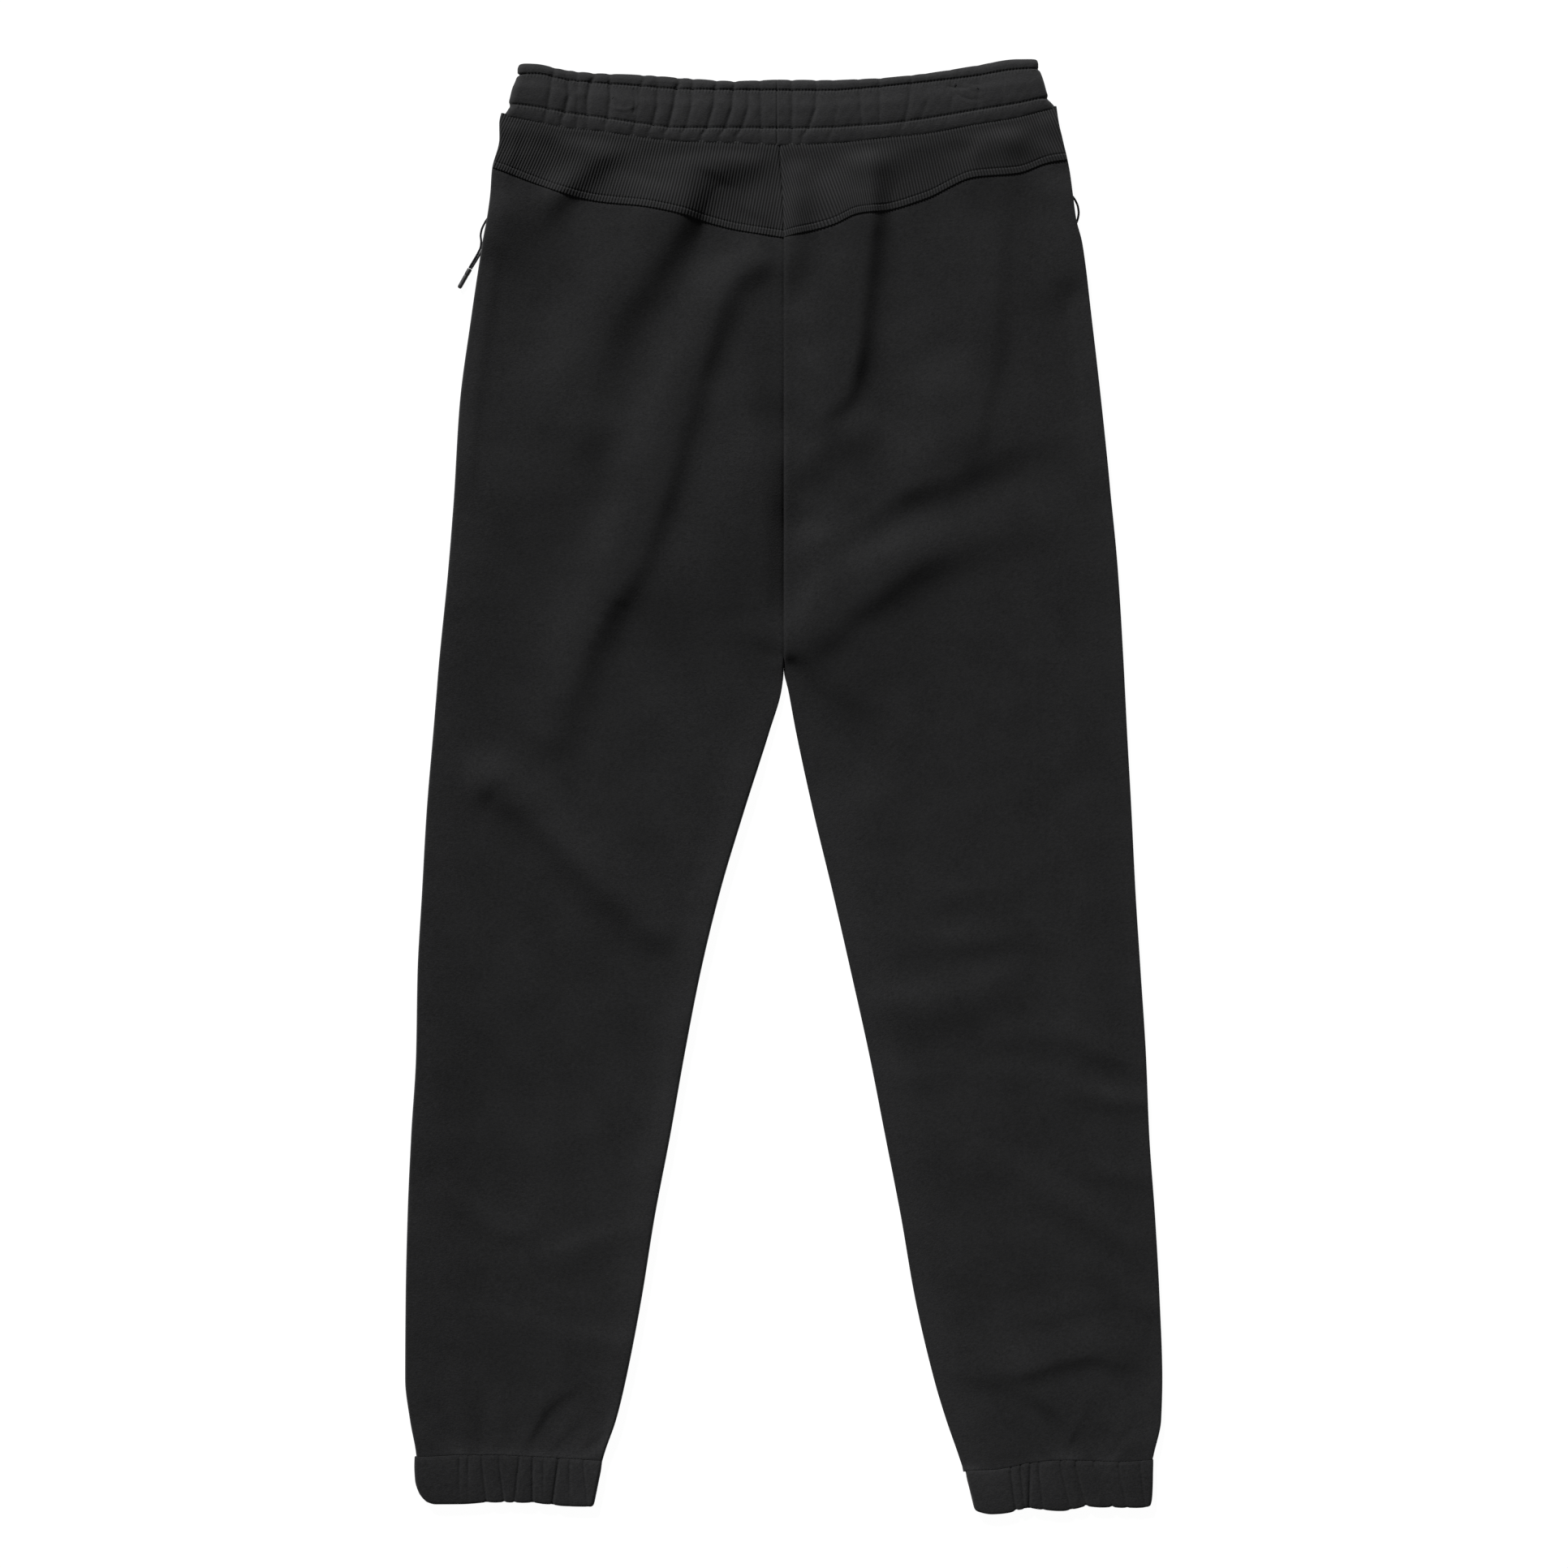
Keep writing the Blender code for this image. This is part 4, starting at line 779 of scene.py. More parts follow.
def along_curve(points: Sequence[Sequence[float]], count: int) -> Array:
    """Places at equal shares of a smooth curve through points."""
    points = np.array(points, float)
    lengths = np.concatenate([[0], np.cumsum(np.linalg.norm(np.diff(points, axis=0), axis=1))])
    at = np.linspace(0, lengths[-1], count)
    return np.stack([smooth(lengths, points[:, k], at) for k in range(points.shape[1])], -1)


# ------ leg panels


@dataclass(frozen=True)
class Columns:
    """Columns of a panel, from the side seam inwards.

    Attributes:
        face: Share of the way over the flat face.
        outer_turn, inner_turn: Angles of the quarter turns at the two edges.
        edges: How many edges turn.
    """

    face: Array
    outer_turn: Array
    inner_turn: Array
    edges: int

    @classmethod
    def spread(cls, turn_steps: int, face_steps: int, inner: bool) -> Columns:
        """Space the columns evenly over each turn and over the face."""
        angles = np.linspace(0, pi / 2, turn_steps + 1)[:-1]
        flat = np.linspace(0, 1, face_steps + 1)
        quarter = np.full(face_steps + 1, pi / 2)
        face = [np.zeros(turn_steps), flat]
        outer, inward = [angles, quarter], [np.full(turn_steps, pi / 2), quarter]
        if inner:
            face.append(np.ones(turn_steps))
            outer.append(np.full(turn_steps, pi / 2))
            inward.append(angles[::-1])
        return cls(*(np.concatenate(parts) for parts in (face, outer, inward)), 1 + inner)


@dataclass(frozen=True)
class Panel:
    """A grid over one half of the garment.

    Attributes:
        x, y: Places of its points.
        share: 1 where the cloth faces up or down, 0 at a turned edge.
        lean: The part of its normal that points inwards.
    """

    x: Array
    y: Array
    share: Array
    lean: Array

    TURN_DEPTH = 0.0017        # how far in from an edge its quarter turn reaches
    INNER_EDGE_LIGHT = 0.022         # how far in from the inseam the painted edge light reaches
    OUTER_EDGE_LIGHT = 0.013         # and from the side seam

    @classmethod
    def lay(cls, side: Side, columns: Columns, place: Callable[[Array], Array],
            guess: float) -> Panel:
        """Lay rows out between two seams.

        x runs from the side seam to the inner seam at each height. A quarter turn takes up
        TURN_DEPTH by its cosine, and the face takes the rest. Since x depends on y and the
        rows depend on x, both are found by going there and back.

        Args:
            side: Which half.
            columns: Its columns.
            place: Gives the grid of heights for a grid of x.
            guess: A height to start from.
        """
        y = np.full((1, len(columns.face)), guess)
        for _ in range(PASSES):
            start, end = Pattern.side_seam(side, y), Pattern.inner_seam(side, y)
            width = np.abs(end - start) - columns.edges * cls.TURN_DEPTH
            turned = 1 - np.cos(columns.outer_turn) + np.cos(columns.inner_turn)
            x = start + side.value * (cls.TURN_DEPTH * turned + columns.face * width)
            y = place(x)
        inner = 1 - Pattern.turn_share(y) * (1 - np.sin(columns.inner_turn))
        outer = np.sin(columns.outer_turn)
        away = np.sqrt(np.maximum(1 - inner**2, 0))
        return cls(x, y, outer * inner, side.value * (np.cos(columns.outer_turn) - away * outer))

    def painted_edge_uv(self, side: Side) -> Array:
        """UV places for painted edge light, which lightens the inner edge and the outer one.

        The painted light lies along the inner edge on the leg alone, and along the outer one
        mostly beside the seat.
        """
        inner = bell(self.x - Pattern.inner_seam(side, self.y), self.INNER_EDGE_LIGHT)
        outer = bell(self.x - Pattern.side_seam(side, self.y), self.OUTER_EDGE_LIGHT)
        along_leg = ease((0.040 - self.y) / 0.080)
        by_seat = 0.35 + 0.65 * ease((self.y - 0.100) / 0.120)
        return np.stack([along_leg * inner, by_seat * outer], -1)

    def points(self, edge: Array, face: Array, out: float | Array, way: float) -> Array:
        """Points at a distance off the plain form.

        Args:
            edge, face: Heights where the cloth turns over and where it lies flat.
            out: How far off along the normal.
            way: 1 for cloth whose face looks up, -1 for down.
        """
        z = edge + (face - edge) * self.share + way * out * self.share
        return np.stack([self.x - out * self.lean, self.y, z], -1)


@dataclass
class Layer:
    """A cut piece of one half, made as a thin wall of cloth over a panel's grid.

    Attributes:
        side, lay: Which half, and how it lies.
        flat, area: The two sides of the flat cut, and its area. Not used.
        rows, stride: Rows of the grid, and how many of them a row of the lining spans.
        cloth: Thickness.
    """

    side: Side
    lay: Lay
    flat: tuple[float, float]
    area: float
    rows: int
    stride: int = 3
    cloth: float = 0.0018


@dataclass
class Back(Layer):
    """The back of one leg and seat, from under the yoke's hem down to the cuff.

    Attributes:
        tuck, tuck_drop, tuck_fade: How far it runs on under the yoke's hem, how far down it
            goes there and over what length.
        seam_groove, seam_width: Depth and half width of the seat seam.
        seam_step, step_width: Height and width of the allowances beside it.
        seam_slope, seam_lip: Depth and reach of the dip towards it, at its left and right.
        cuff_dip, dip_width: Depth and width of the dip into the cuff's seam.
    """

    tuck: float = 0.0042
    tuck_drop: float = 0.0009
    tuck_fade: float = 0.0020
    seam_groove: float = 0.0007
    seam_width: float = 0.0013
    seam_step: float = 0.0007
    step_width: float = 0.0060
    seam_slope: tuple[float, float] = (0.0036, 0.0140)
    seam_lip: tuple[float, float] = (0.0010, 0.0026)
    cuff_dip: float = 0.00025
    dip_width: float = 0.0012
    flat: tuple[float, float] = (0.262, 0.890)
    area: float = 0.176
    rows: int = 384

    def surface(self, x: Array, y: Array) -> tuple[Array, Array]:
        """Edge and face heights with the seams in.

        The seat seam is a narrow bell-shaped groove. The allowances pressed to the right
        stand up as a wider bell beside it, and the left half falls towards them by an
        exponential of its distance. Under the yoke the cloth eases down, and it dips into the
        cuff's seam, steeply below it.
        """
        edge, face = self.lay.back(self.side, x, y)
        seam = x - Pattern.inner_seam(self.side, y)
        closed = 1 - Pattern.turn_share(y)
        face = face - self.seam_groove * closed * bell(seam, self.seam_width)
        if self.side is Side.RIGHT:
            face = face + self.seam_step * closed * bell(seam, self.step_width)
        depth, reach = self.seam_slope if self.side is Side.LEFT else self.seam_lip
        strength = smooth((0.090, 0.125, 0.210, 0.300), (0.2, 1.0, 1.0, 0.0), y)
        face = face - depth * closed * strength * np.exp(-np.abs(seam) / reach)
        under = ease((y - Pattern.yoke_hem(self.side, x)) / self.tuck_fade)
        above_cuff = y - CUFF_EDGES[self.side].read("seam", x)
        dip = self.cuff_dip * bell(np.maximum(above_cuff, 0), self.dip_width)
        dip = dip - np.minimum(above_cuff, 0)
        return edge, face - self.tuck_drop * under - dip

    def build(self, material: bpy.types.Material) -> bpy.types.Object:
        """Make the panel as a thin wall of cloth.

        Its last rows lie closer together, so that its cut edge stays out of sight.
        """
        side = self.side
        even, close = np.linspace(0, 0.9970, self.rows - 5), np.linspace(0.9976, 1, 6)
        shares = np.concatenate([even, close])[:, None]

        def place(x: Array) -> Array:
            """Heights from under the yoke's hem to just below the cuff's seam."""
            top = Pattern.yoke_hem(side, x) + self.tuck
            bottom = CUFF_EDGES[side].read("seam", x) - 0.0006
            return top[:1] * (1 - shares) + bottom[-1:] * shares

        panel = Panel.lay(side, Columns.spread(6, 108, True), place, 0.1)
        edge, face = self.surface(panel.x, panel.y)
        outer = panel.points(edge, face, 0.0, 1.0)
        lining = panel.points(edge, face, -self.cloth, 1.0)[:: self.stride, :: self.stride]
        shape = Shape()
        # the UV places carry the painted edge light, a lighter colour along the edges
        shape.wall(outer, lining, self.stride, uv=panel.painted_edge_uv(side))
        name = f"back_{side.key}_cloth"
        piece = shape.finish(name, "fleece", material, [f"back_{side.key}"])
        f"front_{side.key}"
        return piece


@dataclass
class Front(Layer):
    """The front of one leg, from the waistband to the cuff. It rests on the floor.

    Attributes:
        seam_groove, seam_width: Depth and half width of the seam in its middle.
        cuff_rise, waist_rise, rise_width: How far its two seams hold it up, and over what.
        crease: Height of its soft creases.
    """

    seam_groove: float = 0.0010
    seam_width: float = 0.0013
    cuff_rise: float = 0.0012
    waist_rise: float = 0.0010
    rise_width: float = 0.0028
    crease: float = 0.0004
    flat: tuple[float, float] = (0.262, 0.955)
    area: float = 0.192
    rows: int = 240

    def surface(self, x: Array, y: Array) -> tuple[Array, Array]:
        """Edge and face heights. Creases lift the cloth off the floor a little."""
        edge, face = self.lay.front(self.side, x, y)
        seam = x - Pattern.inner_seam(self.side, y)
        closed = 1 - Pattern.turn_share(y)
        face = face + self.seam_groove * closed * bell(seam, self.seam_width)
        above_cuff = y - CUFF_EDGES[self.side].read("seam", x)
        below_band = WAIST.read("bottom", x) - y
        face = face + self.cuff_rise * bell(above_cuff, self.rise_width)
        face = face + self.waist_rise * bell(below_band, self.rise_width)
        crests = np.maximum(ripples(x, y, 23, 0.020, 0.120, 1.0), 0)
        return edge, face + self.crease * crests

    def build(self, material: bpy.types.Material) -> bpy.types.Object:
        """Make the panel as a thin wall of cloth."""
        side = self.side
        shares = np.linspace(0, 1, self.rows + 1)[:, None]

        def place(x: Array) -> Array:
            """Heights from the waistband's lower edge to just below the cuff's seam."""
            top = WAIST.read("bottom", x) - 0.0003
            bottom = CUFF_EDGES[side].read("seam", x) - 0.0012
            return top[:1] * (1 - shares) + bottom[-1:] * shares

        panel = Panel.lay(side, Columns.spread(6, 66, True), place, 0.1)
        edge, face = self.surface(panel.x, panel.y)
        outer = panel.points(edge, face, 0.0, -1.0)
        lining = panel.points(edge, face, -self.cloth, -1.0)[:: self.stride, :: self.stride]
        shape = Shape()
        # the UV places carry the painted edge light, a lighter colour along the edges
        shape.wall(outer, lining, self.stride, uv=panel.painted_edge_uv(side))
        name = f"front_{side.key}_cloth"
        piece = shape.finish(name, "fleece", material, [f"front_{side.key}"])
        return piece


# ------ yokes


@dataclass
class Yoke(Layer):
    """A seat yoke of ribbed knit, from under the waistband to its folded hem.

    Attributes:
        step: How much higher than the back it lies.
        rib_pitch, rib_height: Width and height of a rib.
        hem, hem_height, hem_round: Depth of the doubled hem, its height over the rest and
            the radius of its edge.
        stitch_depth: Depth and half width of the groove that the topstitch draws in.
        seam_depth, seam_width: Depth and half width of the seam between the yokes.
        band_dip: How far it dips into the waistband's seam.
        tuck: How far it runs on under the waistband.
        hem_rows: Rows over the hem.
    """

    cloth: float = 0.0012
    step: float = 0.0002
    rib_pitch: float = 0.00205
    rib_height: float = 0.00060
    hem: float = 0.0050
    hem_height: float = 0.0001
    hem_round: float = 0.0007
    stitch_depth: float = 0.0005
    seam_depth: float = 0.0010
    seam_width: float = 0.0009
    band_dip: float = 0.0004
    tuck: float = 0.0020
    flat: tuple[float, float] = (0.204, 0.068)
    area: float = 0.0103
    hem_rows: int = 14
    rows: int = 61

    # the ribs' lean, dx for a step of dy, by x
    LEAN = {
        Side.LEFT: ((-0.20, -0.17, -0.14, -0.10, -0.05, 0.0), (0.45, 0.43, 0.34, 0.28, 0.20, 0.19)),
        Side.RIGHT: ((0.0, 0.02, 0.04, 0.065, 0.10, 0.14, 0.19),
                     (-0.36, -0.28, -0.34, -0.19, -0.23, -0.31, -0.44)),
    }
    LEVEL = 0.44               # the height at which the ribs are counted

    def phase(self, x: Array, y: Array) -> Array:
        """How many ribs a point is from x = 0: their crests are at the halves."""
        lean = smooth(*self.LEAN[self.side], x)
        return (x - lean * (y - self.LEVEL)) / self.rib_pitch

    def surface(self, x: Array, y: Array, ribbed: bool) -> tuple[Array, Array]:
        """Edge and face heights, with or without the ribs.

        A rib is a rounded ridge: 1 minus the third power of the distance from its crest,
        in half pitches. The hem is one ply higher, its lower edge is a quarter round, and
        the topstitch draws in a narrow groove.
        """
        edge, face = self.lay.back(self.side, x, y)
        above = y - Pattern.yoke_hem(self.side, x)
        phase = self.phase(x, y)
        off_crest = np.abs(2 * (phase - np.floor(phase)) - 1)
        ribs = self.rib_height * (1 - off_crest**3) * ribbed
        doubled = self.hem_height * (1 - ease((above - self.hem + 0.0004) / 0.0012))
        stitch = self.stitch_depth * bell(above - self.hem, self.stitch_depth)
        short = np.clip(self.hem_round - above, 0, self.hem_round)
        rounded = self.hem_round - np.sqrt(self.hem_round**2 - short**2)
        seam = x - Pattern.inner_seam(self.side, y)
        groove = self.seam_depth * bell(seam, self.seam_width)
        into_band = self.band_dip * ease((y - WAIST.read("bottom", x) + 0.0010) / 0.0016)
        return edge, face + self.step + ribs + doubled - stitch - rounded - groove - into_band

    def build(self, material: bpy.types.Material) -> bpy.types.Object:
        """Make the yoke as a thin wall."""
        side = self.side
        start = 1.25 * self.hem
        low = np.linspace(start, 0, self.hem_rows + 1)[:, None]
        shares = np.linspace(0, 1, self.rows - self.hem_rows)[:-1, None]

        def place(x: Array) -> Array:
            """Heights from under the waistband to the hem, with closer rows over the hem."""
            hem = Pattern.yoke_hem(side, x[-1:])
            top = WAIST.read("bottom", x[:1]) + self.tuck
            return np.vstack([top * (1 - shares) + (hem + start) * shares, hem + low])

        panel = Panel.lay(side, Columns.spread(9, 660, False), place, 0.42)
        edge, face = self.surface(panel.x, panel.y, True)
        outer = panel.points(edge, face, 0.0, 1.0)
        edge, face = self.surface(panel.x, panel.y, False)
        lining = panel.points(edge, face, -self.cloth, 1.0)[:: self.stride, :: self.stride]
        shape = Shape()
        uv = np.stack([self.phase(panel.x, panel.y), panel.y / self.rib_pitch], -1)
        shape.wall(outer, lining, self.stride, uv=uv)
        name = f"yoke_{side.key}_rib"
        piece = shape.finish(name, "rib", material, [f"yoke_{side.key}"])
        f"front_{side.key}_cloth"
        return piece


# ------ bands


class Gather(NamedTuple):
    """A crease across a band: its x at each marked level, and how much it pulls in there."""

    xs: tuple[float, ...]
    pulls: tuple[float, ...]

    @classmethod
    def of(cls, xs: Sequence[float], pulls: Sequence[float]) -> Gather:
        """Make one from tenths of a millimetre, with pulls in hundredths."""
        return cls(tuple(x / TENTHS for x in xs), tuple(pull / 100 for pull in pulls))


# x at the middles of the three channels, then the pulls there, from left to right
WAIST_GATHERS = tuple(Gather.of(row[:3], row[3:]) for row in (
    (-1579, -1607, -1641, 30, 35, 25), (-1495, -1478, -1529, 25, 50, 35),
    (-1417, -1417, -1422, 35, 10, 30), (-1305, -1350, -1350, 35, 50, 20),
    (-1193, -1193, -1226, 30, 40, 25), (-963, -1002, -1036, 30, 12, 30),
    (-868, -868, -930, 20, 40, 25), (-717, -756, -823, 45, 50, 25),
    (-622, -633, -711, 30, 30, 10), (-459, -482, -566, 30, 40, 30),
    (-336, -353, -442, 40, 40, 25), (-241, -241, -325, 5, 30, 30), (-162, -151, -151, 25, 30, 25),
    (59, 62, 59, 30, 30, 35), (230, 224, 129, 25, 35, 20), (347, 375, 314, 12, 12, 12),
    (521, 532, 560, 20, 30, 10), (666, 666, 666, 25, 25, 5), (885, 868, 812, 15, 25, 15),
    (980, 997, 902, 10, 10, 10), (1148, 1170, 1120, 10, 12, 5), (1344, 1350, 1316, 10, 12, 5),
    (1439, 1512, 1512, 5, 8, 5),
))
# from left to right: x at the free edge and at the seam, and the pulls there
CUFF_GATHERS = {
    side: tuple(Gather.of((free, seam, seam), (pull, at_seam, at_seam / 2))
                for free, seam, pull, at_seam in creases)
    for side, creases in (
        (Side.LEFT, (
            (-2233, -2233, 0, 24), (-2173, -2173, 0, 26), (-2047, -2080, 24, 26),
            (-1926, -1960, 26, 24), (-1855, -1822, 20, 30), (-1729, -1729, 32, 34),
            (-1655, -1653, 0, 22), (-1593, -1554, 32, 38), (-1476, -1473, 2, 24),
            (-1346, -1379, 6, 22),
        )),
        (Side.RIGHT, (
            (1608, 1571, 40, 34), (1668, 1638, 20, 36), (1698, 1705, 46, 38),
            (1794, 1764, 12, 32), (1987, 1914, 30, 34), (2092, 2018, 46, 42),
            (2270, 2144, 38, 32), (2374, 2315, 16, 32), (2501, 2463, 16, 26),
        )),
    )
}
# small creases round the bar tacks, and the middles of the tacks' stitches
TACK_CREASES = tuple(Fold.of(*numbers) for numbers in (
    ((11, 11), (-1150, 4674, 0), (-1125, 4665, 50), (-1085, 4664, 50), (-1058, 4674, 0)),
    ((10, 10), (-1028, 4754, -20), (-1022, 4722, -60), (-1027, 4684, -30)),
    ((10, 10), (-1196, 4810, -30), (-1190, 4765, -70), (-1180, 4718, -20)),
    ((9, 9), (1170, 4816, 0), (1200, 4812, -60), (1236, 4812, 0)),
    ((7, 7), (1325, 4838, 0), (1336, 4835, -40), (1345, 4836, 0)),
    ((7, 7), (1328, 4787, 0), (1338, 4784, -40), (1350, 4787, 0)),
    ((9, 9), (1222, 4757, 0), (1250, 4742, -40), (1290, 4733, -40), (1325, 4731, 0)),
))
TACKS = ((-0.1170, 0.4746), (-0.1176, 0.4738), (0.1187, 0.4836), (0.1181, 0.4828),
         (0.1338, 0.4808), (0.1344, 0.4802))
# by level: thickness of the upper and the lower wall, and x of both ends
WAIST_ROWS = Table("level puff base left right", (
    (0, 6, 10, -1780, 1728),
    (500, 23, 27, -1804, 1745),
    (1400, 31, 36, -1822, 1754),
    (5500, 42, 46, -1834, 1761),
    (8500, 41, 47, -1834, 1761),
    (10000, 38, 45, -1820, 1758),
    (10800, 40, 47, -1839, 1773),
    (12000, 43, 47, -1849, 1784),
    (14500, 50, 47, -1871, 1801),
    (17500, 46, 47, -1886, 1817),
    (19200, 40, 47, -1893, 1826),
    (20000, 36, 45, -1888, 1822),
    (21200, 38, 47, -1887, 1828),
    (23500, 37, 47, -1898, 1848),
    (27500, 30, 45, -1921, 1876),
    (29200, 23, 36, -1935, 1886),
    (30000, 15, 26, -1946, 1891),
), TENTHS)
# the same, with the left cuff's ends and then the right one's
CUFF_ROWS = {
    side: Table("level puff base left right", [(*row[:3], *row[first:first + 2]) for row in (
        (0, 6, 10, -2415, -1325, 1338, 2500),
        (200, 22, 26, -2436, -1314, 1326, 2522),
        (600, 28, 33, -2468, -1306, 1318, 2538),
        (2400, 31, 37, -2518, -1293, 1304, 2549),
        (5000, 32, 37, -2543, -1276, 1286, 2553),
        (8000, 30, 37, -2548, -1257, 1266, 2555),
        (9200, 27, 34, -2547, -1252, 1261, 2556),
        (10000, 21, 24, -2545, -1249, 1257, 2556),
    )], TENTHS)
    for side, first in ((Side.LEFT, 3), (Side.RIGHT, 5))
}


@dataclass
class Band:
    """A puffed elastic band that goes all round and lies pressed flat.

    Its level counts the lines that a point has passed from the free edge, fractions included.

    Attributes:
        name, node, slot: The piece, the node that it stands for, and its material slot.
        rows: Thickness of both walls and the x of both ends, by level.
        lines: The heights of the edges and stitch lines, as functions of x.
        marks: The levels at which the gathers give their places.
        gathers: The creases across the band.
        middle: Height of the slit between the walls.
        flat: The visible cut, width and length round. Not used.
        spacing: How many rows each channel has.
        upper_steps, lower_steps: Steps across the upper and the lower wall.
        seams: x of the seams across the band.
        dents: Small creases in the upper wall, such as those round a bar tack.
        slit: Gap between the walls.
        turn, turn_steps: Width of the turn at each end, and the steps round it.
        stride: How many steps of the outer grid a step of the lining spans.
        crease_width, flank_width: Widths of a gather's crease and of the flanks beside it.
        sharpness: The crease's part of a gather, and the flanks have the rest.
        pulling: Factor on the gathers' pulls.
        edge_scallop, scallop_reach: How far a gather draws the free edge in, and over how
            many levels.
        stitch_pitch, stitch_depth, stitch_width: Size of the stitches' groove.
        stitch_wave: How much shallower it is between the needle holes.
        puffing, puff_drop, puff_width: Height, place and width of the puffs under a line.
        seam_depth, seam_width: Depth and half width of a seam's groove.
        unevenness: Height of the cloth's ripples.
        lower_share: How deep the lower wall's creases are, to the upper wall's.
        thinnest, floor_gap: The least that a wall can be, and its height over the floor.
        edge_light_end, edge_light_width: x round which painted light lightens it, and how widely.
    """

    name: str
    node: str
    slot: str
    rows: Table
    lines: tuple[Callable[[Array], Array], ...]
    marks: tuple[float, ...]
    gathers: tuple[Gather, ...]
    middle: float
    flat: tuple[float, float]
    spacing: tuple[int, ...]
    upper_steps: int
    lower_steps: int
    seams: tuple[float, ...] = ()
    dents: tuple[Fold, ...] = ()
    slit: float = 0.0006
    turn: float = 0.0052
    turn_steps: int = 10
    stride: int = 4
    crease_width: float = 0.0018
    flank_width: float = 0.0040
    sharpness: float = 0.45
    pulling: float = 0.80
    edge_scallop: float = 0.00286
    scallop_reach: float = 0.12
    stitch_pitch: float = 0.00227
    stitch_depth: float = 0.0005
    stitch_width: float = 0.0008
    stitch_wave: float = 0.35
    puffing: float = 0.00030
    puff_drop: float = 0.0013
    puff_width: float = 0.0008
    seam_depth: float = 0.0008
    seam_width: float = 0.0005
    unevenness: float = 0.00005
    lower_share: float = 0.35
    thinnest: float = 0.0002
    floor_gap: float = 0.00005
    # far off by default, so no painted edge light unless a band sets it nearer
    edge_light_end: float = 9.0
    edge_light_width: float = 0.030

    def height(self, x: Array, level: Array) -> Array:
        """y at a level: it blends straight from one line to the next.

        At the free edge each gather draws it in a little.
        """
        i = np.clip(np.floor(level), 0, len(self.lines) - 2).astype(int)
        f = level - i
        lines = np.stack([line(x) for line in self.lines])
        y = (np.take_along_axis(lines, i[None], 0) * (1 - f)
             + np.take_along_axis(lines, i[None] + 1, 0) * f)[0]
        inward = np.sign(lines[1] - lines[0])
        drawn = self.edge_scallop * bell(level, self.scallop_reach)
        return y + inward * drawn * self.creases(x, level)

    def creases(self, x: Array, level: Array) -> Array:
        """How much the gathers pull the wall in, from 0 to 1.

        Each is a narrow bell with a wider exponential flank, by the distance in x to a line
        that joins its places at the marked levels.
        """
        pulled = np.zeros(x.shape)
        for gather in self.gathers:
            distance = x - np.interp(level, self.marks, gather.xs)
            pull = np.interp(level, self.marks, gather.pulls)
            sharp = self.sharpness * bell(distance, self.crease_width)
            flank = (1 - self.sharpness) * np.exp(-np.abs(distance) / self.flank_width)
            pulled = np.maximum(pulled, self.pulling * pull * (sharp + flank))
        return pulled

    def stitched(self, x: Array, y: Array) -> Array:
        """How far the inner lines' stitches draw the wall in.

        A groove follows each line, deeper at the needle holes, and the cloth just below it
        puffs out between them by a cosine.
        """
        drawn = np.zeros(x.shape)
        wave = np.cos(tau * x / self.stitch_pitch)
        for line in self.lines[1:-1]:
            off = y - line(x)
            deeper = 1 - self.stitch_wave + self.stitch_wave * wave
            drawn += self.stitch_depth * bell(off, self.stitch_width) * deeper
            drawn += self.puffing * bell(off + self.puff_drop, self.puff_width) * wave
        for seam in self.seams:
            drawn += self.seam_depth * bell(x - seam, self.seam_width)
        return drawn

    def upper(self, x: Array, level: Array, y: Array) -> Array:
        """Thickness of the upper wall over the slit."""
        puff = self.rows.read("puff", level) - self.stitched(x, y)
        puff = puff + sum(dent.rise(x, y) for dent in self.dents)
        uneven = ripples(x, y, 5, 0.006, 0.030, self.unevenness)
        return np.maximum(puff * (1 - self.creases(x, level)) + uneven, self.thinnest)

    def lower(self, x: Array, level: Array, y: Array) -> Array:
        """Thickness of the lower wall under the slit: its creases are shallower."""
        base = self.rows.read("base", level) - self.stitched(x, y)
        base = base * (1 - self.lower_share * self.creases(-x + self.sum_of_ends(), level))
        return np.clip(base, self.thinnest, self.middle - self.slit / 2 - self.floor_gap)

    def sum_of_ends(self) -> float:
        """The two ends' mean x, doubled, which mirrors one end on to the other."""
        return float(self.rows["left"].mean() + self.rows["right"].mean())

    def levels(self) -> Array:
        """Levels of the rows, closer together near each line."""
        parts = []
        for k, count in enumerate(self.spacing):
            t = np.linspace(0, 1, count + 1)[:-1]
            parts.append(k + 0.5 * t + 0.25 * (1 - np.cos(pi * t)))
        return np.concatenate([*parts, [float(len(self.spacing))]])

    def build(self, material: bpy.types.Material) -> bpy.types.Object:
        """Make the band as a ring of columns round both walls."""
        level = self.levels()[:, None]
        left, right = (self.rows.read(name, level) for name in ("left", "right"))
        start, end = left + self.turn, right - self.turn
        over = np.linspace(0, 1, self.upper_steps + 1)
        under = np.linspace(1, 0, self.lower_steps + 1)
        angle = np.linspace(0, pi, self.turn_steps + 1)[1:-1]

        x = np.hstack([start + (end - start) * over, end + self.turn * np.sin(angle),
                       start + (end - start) * under, start - self.turn * np.sin(angle[::-1])])
        swing = np.concatenate([np.ones(over.shape), np.cos(angle), -np.ones(under.shape),
                                np.cos(angle[::-1])])
        deep = np.repeat(level, x.shape[1], 1)
        y = self.height(x, deep)
        inside = np.clip(x, start, end)
        thick = np.where(swing > 0, self.upper(inside, deep, y), self.lower(inside, deep, y))
        z = self.middle + swing * (thick + self.slit / 2)
        outer = np.stack([x, y, z], -1)

        inner_x = inside + 0.3 * (x - inside)
        inner_z = np.broadcast_to(self.middle + swing * self.slit / 2, x.shape)
        lining = np.stack([inner_x, y, inner_z], -1)[:: self.stride, :: self.stride]
        shape = Shape()
